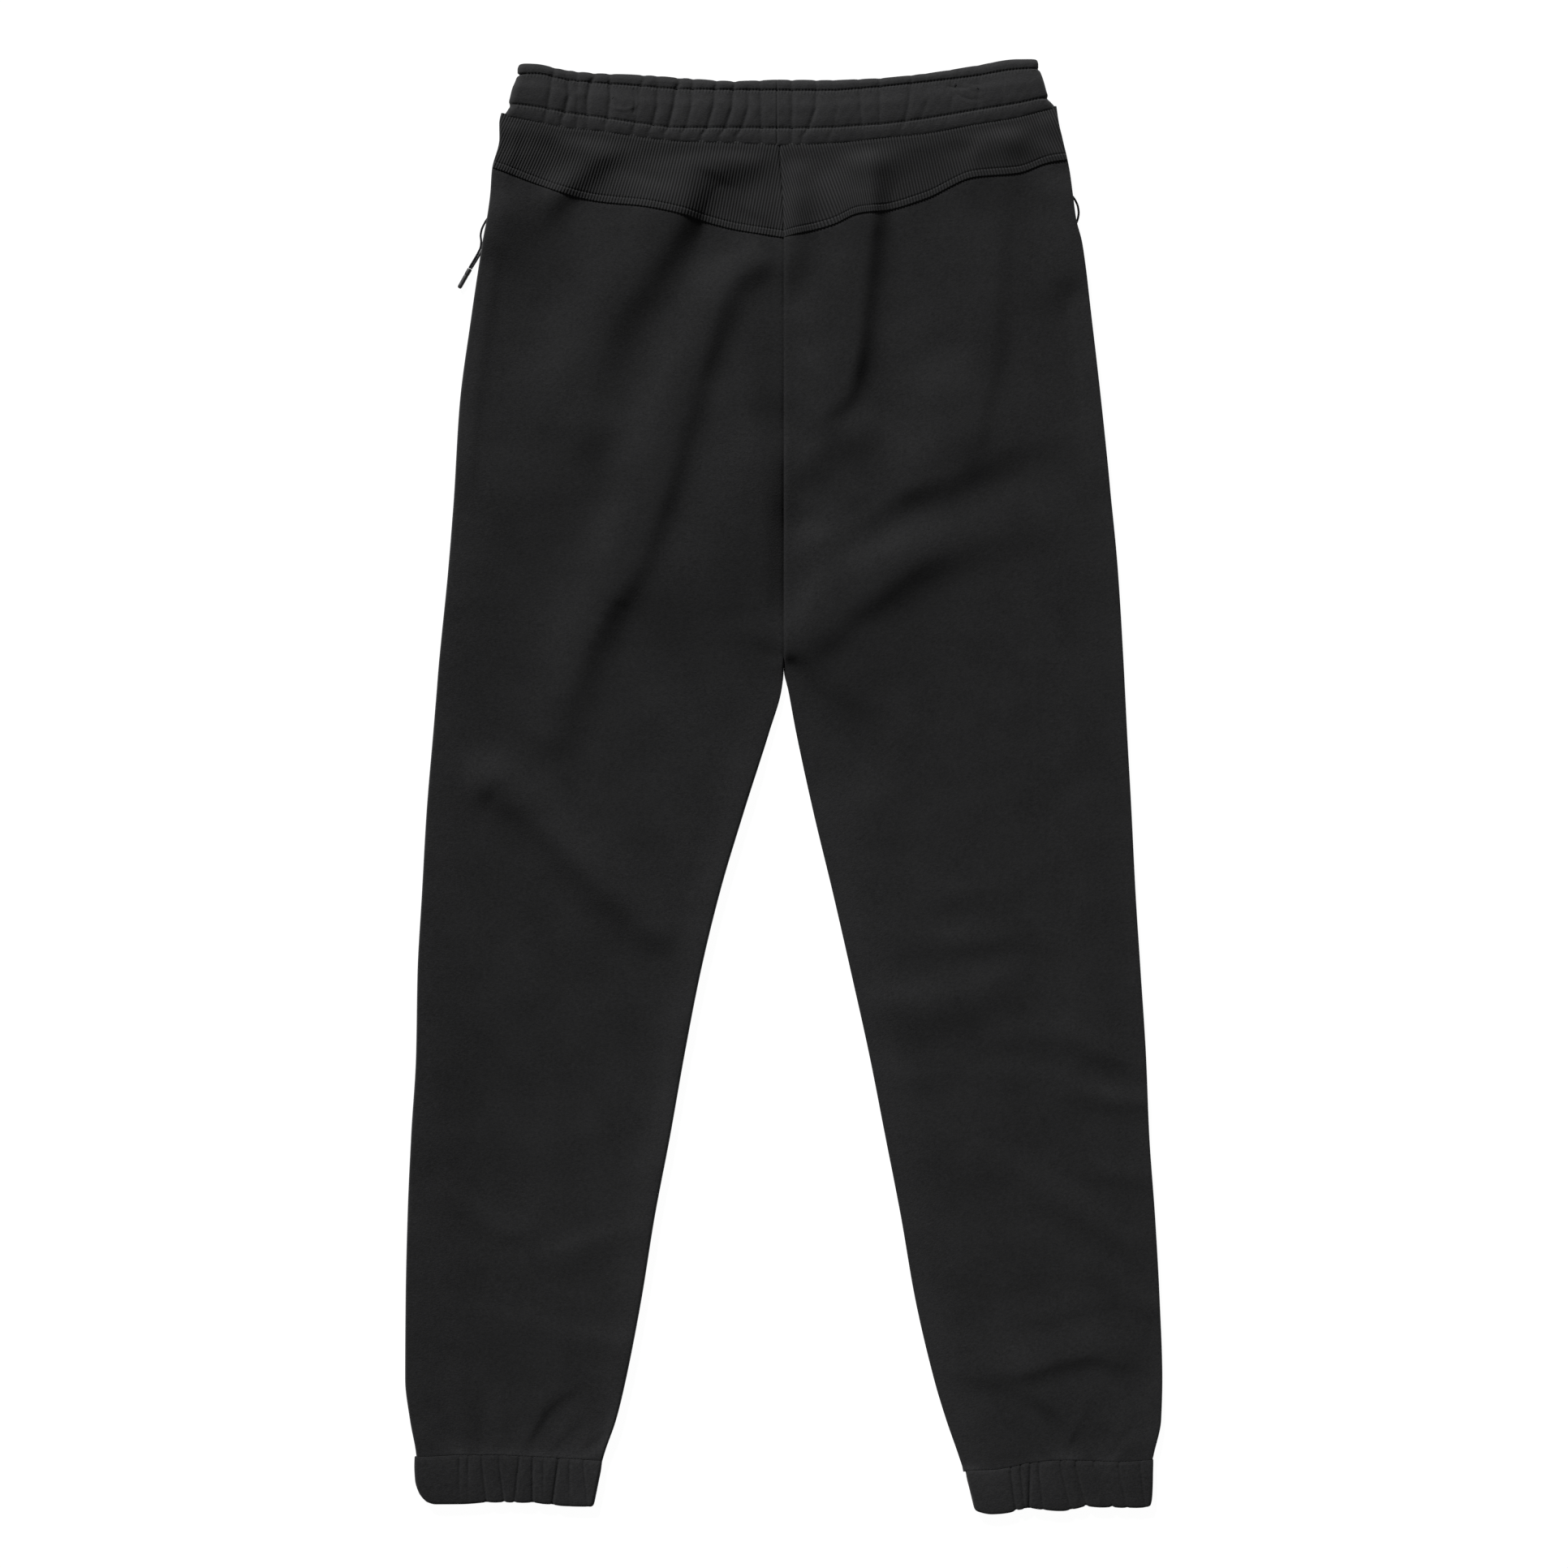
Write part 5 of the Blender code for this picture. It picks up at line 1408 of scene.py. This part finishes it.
        # UV that makes the cloth lighter round one x: painted edge light
        painted_edge_light = np.stack([bell(x - self.edge_light_end, self.edge_light_width), np.zeros(x.shape)], -1)
        shape.wall(outer, lining, self.stride, ring=True, uv=painted_edge_light)
        piece = shape.finish(self.name, self.slot, material, [self.node])
        return piece

    def holes(self, level: float, way: float) -> Array:
        """Needle holes along a line of the upper wall, or of the lower one if way is -1."""
        ends = [self.rows.read(name, level) for name in ("left", "right")]
        first, last = (int(np.round(end / self.stitch_pitch)) for end in ends)
        x = self.stitch_pitch * np.arange(first + 2, last - 1)
        deep = np.full(x.shape, float(level))
        y = self.height(x, deep)
        thick = self.upper(x, deep, y) if way > 0 else self.lower(x, deep, y)
        return np.stack([x, y, self.middle + way * (thick + self.slit / 2)], -1)


def waistband() -> Band:
    """The waistband: three channels between its edges and two stitch lines."""
    def line(name: str, drop: float = 0.0) -> Callable[[Array], Array]:
        return lambda x: WAIST.read(name, x) + drop

    return Band(
        name="waistband_cloth", node="waistband", slot="fleece_band", rows=WAIST_ROWS,
        lines=(line("top"), line("upper_stitch"), line("lower_stitch"), line("bottom", -0.0003)),
        marks=(0.5, 1.5, 2.5), gathers=WAIST_GATHERS, middle=0.00525, flat=(0.050, 0.92),
        spacing=(14, 34, 20), upper_steps=760, lower_steps=240, seams=(-0.0042,),
        dents=TACK_CREASES, scallop_reach=0.5,
    )


def cuff(side: Side) -> Band:
    """A cuff: one gathered channel at the end of a leg."""
    edges = CUFF_EDGES[side]
    return Band(
        name=f"cuff_{side.key}_cloth", node=f"cuff_{side.key}", slot="fleece", rows=CUFF_ROWS[side],
        lines=(lambda x: edges.read("free", x), lambda x: edges.read("seam", x)),
        marks=(0.0, 0.88, 1.0), gathers=CUFF_GATHERS[side], middle=0.0041, flat=(0.036, 0.33),
        spacing=(48,), upper_steps=320, lower_steps=120, turn=0.0024, crease_width=0.0010,
        # painted edge light at the cuff's inner end
        pulling=1.5, unevenness=0.00004, edge_light_end=-side.value * 0.130,
    )


# ------ stitching


@dataclass
class Stitching:
    """Rows of thread on the seams that show.

    Attributes:
        bands, yokes, backs: What the rows are sewn on.
        thread, around: Radius of the thread, and points round it.
        arch: How high a stitch stands up.
        covered: Share of the way from hole to hole that thread covers.
        pitch: Length of a stitch on the hems and the cuffs.
        sunk: How far the needle holes lie under the cloth's face.
        tack: Half of a tack's stitch in plan, from its middle to its end.
    """

    bands: dict[str, Band]
    yokes: dict[Side, Yoke]
    backs: dict[Side, Back]
    thread: float = 0.00024
    arch: float = 0.00022
    around: int = 6
    covered: float = 0.80
    pitch: float = 0.00215
    sunk: float = 0.0003
    tack: tuple[float, float] = (0.0006, 0.0002)

    def row(self, shape: Shape, holes: Array, way: float = 1.0) -> None:
        """Add one row of stitches.

        A stitch is a tube along half a sine wave from one hole to the next.

        Args:
            shape: What takes the tubes.
            holes: The needle holes, in order.
            way: 1 for stitches that stand up, -1 for down.
        """
        step = np.diff(holes, axis=0)
        t = np.linspace(0.5 - self.covered / 2, 0.5 + self.covered / 2, 5)[None, :, None]
        path = holes[:-1, None] + t * step[:, None]
        path[..., 2] += way * self.arch * np.sin(pi * t[..., 0])
        ring = circle(self.around, *(axis[:, None, None] for axis in axes(step)))
        taper = np.array([0.55, 0.95, 1.0, 0.95, 0.55])[:, None, None] * self.thread
        shape.tubes(path[:, :, None] + taper * ring)

    def hem_holes(self, side: Side) -> Array:
        """Needle holes of a yoke's topstitch, which runs along its hem."""
        yoke = self.yokes[side]
        ends = [Pattern.inner_seam(side, 0.385), Pattern.side_seam(side, 0.428)]
        x = np.arange(min(ends) + 0.003, max(ends) - 0.003, self.pitch)
        y = Pattern.yoke_hem(side, x) + yoke.hem
        return np.stack([x, y, yoke.surface(x, y, True)[1] - self.sunk], -1)

    def cuff_holes(self, side: Side) -> Array:
        """Needle holes along a cuff's seam, on the leg's side of it."""
        edges = CUFF_EDGES[side]["x"]
        x = np.arange(edges[0] + 0.006, edges[-1] - 0.006, self.pitch)
        y = CUFF_EDGES[side].read("seam", x) + 0.0006
        return np.stack([x, y, self.backs[side].surface(x, y)[1] - self.sunk], -1)

    def build(self, material: bpy.types.Material) -> None:
        """Make the waistband's rows and tacks, the hems' rows and the cuffs', a piece each."""
        shape = Shape()
        for level in (1.0, 2.0):
            for way in (1.0, -1.0):
                self.row(shape, self.bands["waist"].holes(level, way), way)
        x, y = np.array(TACKS).T
        band = self.bands["waist"]
        height = band.middle + band.slit / 2 + band.upper(x, np.full(x.shape, 1.5), y)
        middles = np.stack([x, y, height + 0.0001 - self.sunk], -1)
        half = np.array((*self.tack, 0.0))
        for middle in middles:
            self.row(shape, np.stack([middle - half, middle + half]))
        shape.finish("waistband_stitches", "fleece_band", material)
        for side in Side:
            shape = Shape()
            self.row(shape, self.hem_holes(side))
            shape.finish(f"yoke_{side.key}_stitches", "rib", material)
            shape = Shape()
            self.row(shape, self.cuff_holes(side))
            shape.finish(f"cuff_{side.key}_stitches", "fleece", material)


# ------ zips and pullers


@dataclass
class PocketZip:
    """A closed pocket zip on the front: its tape's teeth and its slider.

    Attributes:
        side, lay: Which half, and how it lies.
        below: How far the teeth run on below the slider's middle.
        tape_drop: How far under the seam's lift the tape lies.
        tooth_pitch, tooth_length, tooth_radius: Sizes of the teeth.
        tooth_bow: How far a tooth's ends are bent in y and in z.
        inset: How far in from the side seam the teeth are.
        slider: Width and length of the slider.
        plate: Heights of the plate's under and upper side.
    """

    side: Side
    lay: Lay
    below: float = 0.162
    tape_drop: float = 0.0013
    tooth_pitch: float = 0.00125
    tooth_length: float = 0.0034
    tooth_radius: float = 0.00034
    tooth_bow: tuple[float, float] = (0.0002, 0.00025)
    inset: float = 0.0049
    slider: tuple[float, float] = (0.0062, 0.0090)
    plate: tuple[float, float] = (0.0009, 0.0022)

    def teeth(self, material: bpy.types.Material) -> bpy.types.Object:
        """Make the coil: short rounded bars across the tape, bent like a bow."""
        side = self.side
        middle_y = PULLERS[side].slider[1]
        y = np.arange(middle_y - self.below + 0.002, middle_y - 0.005, self.tooth_pitch)
        x = Pattern.side_seam(side, y) + side.value * self.inset
        z = self.lay.lift(side, x, y) - self.tape_drop - self.tooth_radius * 0.6
        t = np.linspace(-1, 1, 5)
        path = np.stack([
            x[:, None] + t * self.tooth_length / 2,
            y[:, None] + self.tooth_bow[0] * t**2,
            z[:, None] + self.tooth_bow[1] * t**2,
        ], -1)
        ring = circle(6, np.array([0, 1, 0]), np.array([0, 0, 1]))
        taper = self.tooth_radius * np.array([0.6, 1.0, 1.0, 1.0, 0.6])[:, None, None]
        shape = Shape()
        shape.tubes(path[:, :, None] + taper * ring)
        return shape.finish(f"zip_teeth_{side.key}", "zip_slider", material)

    def body(self, material: bpy.types.Material) -> bpy.types.Object:
        """Make the slider: a shield plate with rounded edges, and a bridge below it.

        The plate's half width is a function of the way along it: full at the shoulders,
        narrowing by a cosine to the nose. Each cross-section is a rounded rectangle given
        by a superellipse of power 4.
        """
        x, y = PULLERS[self.side].slider
        width, length = self.slider
        low, high = self.plate
        along = np.linspace(-1, 1, 25)
        narrow = 0.62 + 0.38 * ease((along + 0.85) / 1.1)
        cap = np.maximum(1 - np.abs(along) ** 10, 0.04) ** 0.5
        angle = np.linspace(0, tau, 24, endpoint=False)
        power = 0.5
        round_x = np.sign(np.cos(angle)) * np.abs(np.cos(angle)) ** power
        round_z = np.sign(np.sin(angle)) * np.abs(np.sin(angle)) ** power
        half = (width / 2 * narrow * cap)[:, None]
        thick = (high - low) / 2 * cap[:, None]
        rings = np.stack([
            x + half * round_x, np.repeat(y + along[:, None] * length / 2, 24, 1),
            (low + high) / 2 + thick * round_z,
        ], -1)
        shape = Shape()
        shape.tube(rings)
        t = np.linspace(0, pi, 13)
        bridge = [np.full(13, x), y - 0.0032 * np.cos(t), low + 0.0001 - 0.00045 * np.sin(t)]
        shape.tube(sweep(np.stack(bridge, -1), 0.0004, 8))
        return shape.finish(f"zip_slider_{self.side.key}_body", "zip_slider", material,
                            [f"zip_slider_{self.side.key}"])


@dataclass
class Puller:
    """A zip puller: a doubled cord, built as two strands, and its moulded tip.

    Attributes:
        side: Which half.
        radius, steps, around: Radius of the cord, and steps along and round it.
        tip_length, tip_radius, tip_height: The tip's length, radius and middle's height.
    """

    side: Side
    radius: float = 0.00075
    steps: int = 40
    around: int = 14
    tip_length: float = 0.0155
    tip_radius: float = 0.0017
    tip_height: float = 0.00175

    def strand(self, which: str, material: bpy.types.Material) -> bpy.types.Object:
        """Make one strand, a round tube along its route."""
        lay = PULLERS[self.side]
        route = lay.outer if which == "outer" else lay.inner
        path = along_curve(route, self.steps)
        length = float(np.linalg.norm(np.diff(path, axis=0), axis=1).sum())
        rings = sweep(path, self.radius, self.around)
        run = np.linspace(0, length / (tau * self.radius), self.steps)
        turn = np.linspace(0, 1, self.around, endpoint=False)
        uv = np.stack(np.broadcast_arrays(run[:, None], turn[None]), -1)
        shape = Shape()
        shape.tube(rings, uv)
        node = f"puller_cord_{self.side.key}_{which}"
        piece = shape.finish(f"{node}_braid", "cord", material, [node])
        return piece

    def tip(self, material: bpy.types.Material) -> bpy.types.Object:
        """Make the tip: a turned profile with a collar, a waist and a rounded end."""
        (x, y), heading = PULLERS[self.side].tip
        profile = Table(
            "along radius",
            (
                (0.00, 0.55), (0.015, 0.90), (0.05, 1.00), (0.27, 1.00), (0.30, 0.96), (0.33, 0.90),
                (0.36, 0.90), (0.39, 0.94), (0.80, 0.94), (0.90, 0.92), (0.96, 0.80), (0.99, 0.55),
                (1.00, 0.20),
            ),
        )
        along = np.concatenate([np.linspace(0, 0.06, 6), np.linspace(0.08, 0.90, 30),
                                np.linspace(0.92, 1, 9)])
        way = np.array([*heading, 0.0]) / np.hypot(*heading)
        path = np.array([x, y, self.tip_height]) + along[:, None] * self.tip_length * way
        shape = Shape()
        shape.tube(sweep(path, self.tip_radius * profile.read("radius", along), 24))
        node = f"puller_tip_{self.side.key}"
        return shape.finish(f"{node}_moulding", "cord_tip", material, [node])

    def build(self, cord: bpy.types.Material, moulding: bpy.types.Material) -> None:
        """Make the tip and both strands."""
        tip = self.tip(moulding)
        for which in ("outer", "inner"):
            self.strand(which, cord)


# ------ finishes


class Value:
    """A socket whose operators add Math nodes, so that maths on it reads as Python."""

    def __init__(self, graph: Graph, socket: Any) -> None:
        self.graph = graph
        self.socket = socket

    def math(self, operation: str, *others: Any) -> Value:
        """Add one Math node on this socket and others."""
        inputs = dict(enumerate((self, *others)))
        return self.graph.node("ShaderNodeMath", {"operation": operation}, inputs)

    def __add__(self, other: Any) -> Value:
        """Sum."""
        return self.math("ADD", other)

    __radd__ = __add__

    def __sub__(self, other: Any) -> Value:
        """Difference."""
        return self.math("SUBTRACT", other)

    def __rsub__(self, other: Any) -> Value:
        """Difference the other way round."""
        return self * -1.0 + other

    def __mul__(self, other: Any) -> Value:
        """Product."""
        return self.math("MULTIPLY", other)

    __rmul__ = __mul__

    def over(self, low: float, high: float) -> Value:
        """Stretch the range from low to high over 0 to 1, clamped."""
        return self.graph.node("ShaderNodeMapRange", {"clamp": True},
                               {"Value": self, "From Min": low, "From Max": high})


class Graph:
    """The nodes of one material."""

    def __init__(self, name: str) -> None:
        self.material = bpy.data.materials.new(name)
        self.material.use_nodes = True
        self.tree = self.material.node_tree
        self.shader = self.tree.nodes["Principled BSDF"]

    def node(self, kind: str, settings: dict[str, Any] | None = None,
             inputs: dict[Any, Any] | None = None, output: Any = 0) -> Value:
        """Add a node.

        Args:
            kind: The node's type.
            settings: Its properties, which are set first.
            inputs: Values or links of its sockets, by name or number.
            output: Name or number of the socket to hand on.

        Returns:
            That output.
        """
        node = self.tree.nodes.new(kind)
        for key, value in (settings or {}).items():
            setattr(node, key, value)
        for key, value in (inputs or {}).items():
            self.put(node.inputs[key], value)
        return Value(self, node.outputs[output])

    def put(self, socket: Any, value: Any) -> None:
        """Link a socket to a value of the graph, or set it to a number, colour or vector."""
        if isinstance(value, Value):
            self.tree.links.new(value.socket, socket)
        else:
            socket.default_value = value

    def surface(self, **values: Any) -> bpy.types.Material:
        """Feed the surface's sockets, with underscores for the spaces in their names."""
        for key, value in values.items():
            self.put(self.shader.inputs[key.replace("_", " ")], value)
        return self.material

    def unrolled(self) -> Value:
        """The piece's own UV map."""
        return self.node("ShaderNodeUVMap", {"uv_map": "UVMap"})

    def split(self) -> tuple[Value, Value]:
        """The two coordinates of the piece's own UV map."""
        first = self.node("ShaderNodeSeparateXYZ", inputs={0: self.unrolled()})
        return first, Value(self, first.socket.node.outputs[1])

    def place(self, turn: float = 0.0, scale: Sequence[float] = (1.0, 1.0, 1.0)) -> Value:
        """Object coordinates, turned in plan by degrees and then scaled along each axis."""
        object_place = self.node("ShaderNodeTexCoord", output="Object")
        turned = self.node("ShaderNodeMapping", inputs={
            "Vector": object_place, "Rotation": (0.0, 0.0, radians(turn))})
        return self.node("ShaderNodeMapping", inputs={"Vector": turned, "Scale": tuple(scale)})

    def noise(self, place: Value, scale: float, detail: float = 2.0,
              rough: float = 0.5) -> Value:
        """Cloudy noise from 0 to 1 with features about one over the scale across."""
        return self.node("ShaderNodeTexNoise", inputs={
            "Vector": place, "Scale": scale, "Detail": detail, "Roughness": rough})

    def tones(self, tone: Value, colour: Sequence[float], dark: float, light: float) -> Value:
        """A colour times a factor that goes from dark to light as the tone goes from 0 to 1."""
        low, high = (tuple(channel * factor for channel in colour) for factor in (dark, light))
        return self.node("ShaderNodeMix", {"data_type": "RGBA"},
                         {0: tone, 6: (*low, 1.0), 7: (*high, 1.0)}, 2)

    def bump(self, height: Value, distance: float, strength: float = 1.0) -> Value:
        """Turn a height from 0 to 1 into a normal, for a relief of that distance."""
        return self.node("ShaderNodeBump", inputs={
            "Height": height, "Distance": distance, "Strength": strength})


@dataclass(frozen=True)
class Finish:
    """What a material is called, and its mean colour."""

    name: str
    colour: tuple[float, float, float]


@dataclass(frozen=True)
class Fleece(Finish):
    """Brushed fleece: a short dull pile over a fine knit, with heather streaks across.

    Attributes:
        turn: How far the streaks lean, in degrees.
        contrast: How much lighter and darker the streaks are.
        pile: Relief of the pile.
        painted_edge_light: How much lighter painted light makes it at the inner and outer edge.
    """

    turn: float = 0.0
    contrast: float = 0.50
    pile: float = 0.00030
    painted_edge_light: tuple[float, float] = (0.26, 0.30)

    def build(self) -> bpy.types.Material:
        """Make the material: streaks, flecks, tufts and soft patches over a rough pile."""
        graph = Graph(self.name)
        streak = graph.noise(graph.place(self.turn, (0.40, 1.0, 1.0)), 1350.0, 3.0, 0.6)
        fleck = graph.noise(graph.place(), 2100.0, 1.0)
        tuft = graph.noise(graph.place(), 420.0, 1.0)
        patch = graph.noise(graph.place(), 28.0, 3.0)
        mixed = streak * 0.36 + fleck * 0.30 + tuft * 0.16 + patch * 0.18
        inner, outer = graph.split()
        # the edges' UV makes the colour lighter there: painted edge light
        tone = mixed.over(0.36, 0.64) + inner * self.painted_edge_light[0] + outer * self.painted_edge_light[1]
        colour = graph.tones(tone, self.colour, 1 - self.contrast, 1 + self.contrast)
        relief = streak * 0.4 + graph.noise(graph.place(), 900.0, 3.0) * 0.8
        return graph.surface(
            Base_Color=colour, Roughness=tone * -0.08 + 0.97, Specular_IOR_Level=0.12,
            Sheen_Weight=0.06, Sheen_Roughness=0.5,
            Normal=graph.bump(relief, self.pile),
        )


@dataclass(frozen=True)
class Rib(Finish):
    """Ribbed knit, on its own UV map: u counts the ribs, and v has the same scale.

    Attributes:
        depth: Strength of the painted groove shade and of the painted crest highlight.
        courses: Rows of stitches to the width of a rib.
    """

    depth: float = 0.85
    courses: float = 1.9

    def build(self) -> bpy.types.Material:
        """Make the material: painted groove shade and crest highlights, slanting stitches, fine
        fuzz.
        """
        graph = Graph(self.name)
        across, along = graph.split()
        # 0 in a groove and 1 on a crest: the colour follows it as painted shade and painted
        #                                 highlight
        crest = (across * tau).math("COSINE") * -0.5 + 0.5
        legs = across.math("PINGPONG", 0.5) * 0.8
        stitch = ((along * self.courses + legs) * tau).math("SINE") * 0.5 + 0.5
        fuzz = graph.noise(graph.place(), 2000.0, 2.0)
        soft = graph.noise(graph.place(), 60.0, 2.0)
        mottle = (fuzz * 0.8 + soft * 0.2).over(0.28, 0.72)
        tone = crest * 0.70 + mottle * 0.24 + stitch * 0.06
        colour = graph.tones(tone, self.colour, 1 - self.depth, 1 + self.depth)
        relief = stitch * 0.15 + fuzz * 0.85
        return graph.surface(
            Base_Color=colour, Roughness=mottle * -0.08 + 0.95,
            Specular_IOR_Level=0.12, Sheen_Weight=0.05, Sheen_Roughness=0.5,
            Normal=graph.bump(relief, 0.00020),
        )


@dataclass(frozen=True)
class Thread(Finish):
    """Twisted sewing thread."""

    def build(self) -> bpy.types.Material:
        """Make the material: fine slanting plies."""
        graph = Graph(self.name)
        twist = graph.node("ShaderNodeTexWave", {"bands_direction": "DIAGONAL"}, {
            "Vector": graph.place(), "Scale": 900.0, "Distortion": 0.4})
        colour = graph.tones(twist, self.colour, 0.6, 1.4)
        return graph.surface(Base_Color=colour, Roughness=twist * 0.1 + 0.75,
                             Specular_IOR_Level=0.1, Normal=graph.bump(twist, 0.00008))


@dataclass(frozen=True)
class Tape(Finish):
    """Woven zip tape: a fine herringbone."""

    def build(self) -> bpy.types.Material:
        """Make the material: two slanting weaves that meet in a fine check."""
        graph = Graph(self.name)
        one, two = (
            graph.node("ShaderNodeTexWave", {"bands_direction": "DIAGONAL"},
                       {"Vector": graph.place(turn), "Scale": 500.0, "Distortion": 0.3})
            for turn in (0.0, 90.0)
        )
        weave = one * 0.5 + two * 0.5
        colour = graph.tones(weave, self.colour, 0.6, 1.5)
        return graph.surface(Base_Color=colour, Roughness=weave * -0.1 + 0.8,
                             Normal=graph.bump(weave, 0.0001))


@dataclass(frozen=True)
class Braid(Finish):
    """Braided cord: two sets of strands that cross, on the cord's own UV map."""

    picks: float = 1.6

    def build(self) -> bpy.types.Material:
        """Make the material: waves along the two diagonals of the unrolled cord."""
        graph = Graph(self.name)
        unrolled = graph.unrolled()
        crossing = [
            graph.node("ShaderNodeTexWave", {"bands_direction": "DIAGONAL"}, {
                "Vector": graph.node("ShaderNodeMapping", inputs={
                    "Vector": unrolled, "Scale": (self.picks, way * 2.0, 1.0)}),
                "Scale": 1.0, "Distortion": 0.0})
            for way in (1.0, -1.0)
        ]
        weave = crossing[0].math("MAXIMUM", crossing[1])
        colour = graph.tones(weave, self.colour, 0.45, 1.6)
        return graph.surface(Base_Color=colour, Roughness=weave * -0.15 + 0.75,
                             Specular_IOR_Level=0.15,
                             Normal=graph.bump(weave, 0.00015))


@dataclass(frozen=True)
class Moulded(Finish):
    """Moulded plastic or enamelled metal: dull black with fine wear."""

    rough: float
    metallic: float = 0.0

    def build(self) -> bpy.types.Material:
        """Make the material: small scuffs lighten it and change its gloss."""
        graph = Graph(self.name)
        scuff = graph.noise(graph.place(20.0, (0.3, 1.0, 1.0)), 900.0, 4.0, 0.65).over(0.45, 0.75)
        grain = graph.noise(graph.place(), 4000.0, 2.0)
        colour = graph.tones(scuff, self.colour, 1.0, 1.8)
        return graph.surface(
            Base_Color=colour, Roughness=scuff * 0.18 + (grain * 0.06 + self.rough),
            Metallic=self.metallic, Normal=graph.bump(grain, 0.00003),
        )


# ------ studio


@dataclass
class Studio:
    """A plain pale floor, soft light from beyond the waist, and a camera straight above.

    Attributes:
        frame_width: Width of the picture at the garment's level.
        lens, sensor: The camera's focal length and sensor width, in millimetres.
        aim: Point of the floor under the camera.
        level: Height at which the frame has its width.
        bearing, elevation: Where the key light stands, in degrees: turned from +Y towards
            -X, and above the horizon.
        spread: Its apparent width in degrees.
        brightness: What a white surface facing up sends back, from both lights.
        fill: The part of it that comes evenly from all round.
        floor_glow: Light that the floor gives off, which thins the shadows.
        floor_size, floor_drop: Its length and width, and how far below z = 0 it lies.
    """

    frame_width: float = 1.08192
    lens: float = 85.0
    sensor: float = 36.0
    aim: tuple[float, float] = (0.00056, 0.0014)
    level: float = 0.006
    bearing: float = 24.0
    elevation: float = 28.0
    spread: float = 12.0
    brightness: float = 1.0
    fill: float = 0.12
    floor_glow: float = 0.97
    floor_size: float = 40.0
    floor_drop: float = 0.0001

    def camera(self) -> None:
        """Hang the camera so that its frame is `frame_width` wide at the garment."""
        data = bpy.data.cameras.new("camera")
        data.lens, data.sensor_width = self.lens, self.sensor
        data.clip_start, data.clip_end = 0.05, 60.0
        camera = linked("camera", data)
        camera.location = (*self.aim, self.frame_width * self.lens / self.sensor + self.level)
        bpy.context.scene.camera = camera

    def lights(self) -> None:
        """Set the key light and the even light all round.

        A distant lamp of strength pi makes a white surface that faces it look white, and
        one that faces up gets the sine of its elevation.
        """
        data = bpy.data.lights.new("key", "SUN")
        turn, rise = radians(self.bearing), radians(self.elevation)
        data.angle = radians(self.spread)
        data.energy = pi * (self.brightness - self.fill) / sin(rise)
        key = linked("key", data)
        towards = Vector((-sin(turn) * cos(rise), cos(turn) * cos(rise), sin(rise)))
        key.location = towards * 3.0
        key.rotation_euler = towards.to_track_quat("Z", "Y").to_euler()
        world = bpy.data.worlds.new("studio")
        world.use_nodes = True
        background = world.node_tree.nodes["Background"]
        background.inputs["Color"].default_value = (1.0, 1.0, 1.0, 1.0)
        background.inputs["Strength"].default_value = self.fill
        bpy.context.scene.world = world
        bpy.context.scene.view_settings.view_transform = "Standard"

    def floor(self) -> None:
        """Lay the floor just under the garment."""
        half = self.floor_size / 2
        mesh = bpy.data.meshes.new("floor")
        ways = ((-1, -1), (1, -1), (1, 1), (-1, 1))
        corners = [(x * half, y * half, -self.floor_drop) for x, y in ways]
        mesh.from_pydata(corners, [], [(0, 1, 2, 3)])
        graph = Graph("floor_white")
        mesh.materials.append(graph.surface(
            Base_Color=(0.10, 0.10, 0.10, 1.0), Roughness=0.9, Specular_IOR_Level=0.0,
            Emission_Color=(1.0, 1.0, 1.0, 1.0), Emission_Strength=self.floor_glow))
        floor = linked("floor", mesh)

    def build(self) -> None:
        """Set up all three."""
        self.camera()
        self.lights()
        self.floor()


# ------ the garment


def main() -> None:
    """Build the garment, piece by piece, round the fixed frame."""
    logging.basicConfig(level=logging.INFO, format="%(name)s: %(message)s")
    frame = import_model()
    Studio().build()

    cord = Braid("braided_cord", (0.010, 0.010, 0.011)).build()
    moulding = Moulded("moulded_tip", (0.016, 0.016, 0.017), 0.38).build()
    enamel = Moulded("slider_enamel", (0.010, 0.010, 0.011), 0.32, 0.4).build()
    thread = Thread("black_thread", (0.0098, 0.0098, 0.0102)).build()
    tape = Tape("zip_tape", (0.009, 0.009, 0.010)).build()
    rib = Rib("ribbed_knit", (0.0142, 0.0142, 0.0146)).build()
    band_fleece = Fleece("band_fleece", (0.0202, 0.0202, 0.0208), 0.0, 0.30, 0.00020).build()
    # the legs' fleece made lighter for the cuffs: painted light, for the bright floor's glare round
    # them
    cuff_fleece = Fleece("cuff_fleece", (0.0118, 0.0118, 0.0122), 0.0, 0.50).build()
    leg_fleece = {
        Side.LEFT: Fleece("left_leg_fleece", (0.0108, 0.0108, 0.0112), 4.0).build(),
        Side.RIGHT: Fleece("right_leg_fleece", (0.0109, 0.0109, 0.0113), -28.0).build(),
    }

    lay = Lay()
    yokes = {side: Yoke(side, lay) for side in Side}
    backs = {side: Back(side, lay) for side in Side}
    waist = waistband()
    for side in Side:
        Puller(side).build(cord, moulding)
    waist.build(band_fleece)
    for side in Side:
        Front(side, lay).build(leg_fleece[side])
        backs[side].build(leg_fleece[side])
        yokes[side].build(rib)
        cuff(side).build(cuff_fleece)
        pocket = PocketZip(side, lay)
        pocket.teeth(enamel)
        pocket.body(enamel)
        node = frame["nodes"][f"zip_tape_{side.key}"]
        node.data.materials.clear()
        node.data.materials.append(tape)
    Stitching({"waist": waist}, yokes, backs).build(thread)


if __name__ == "__main__":
    main()
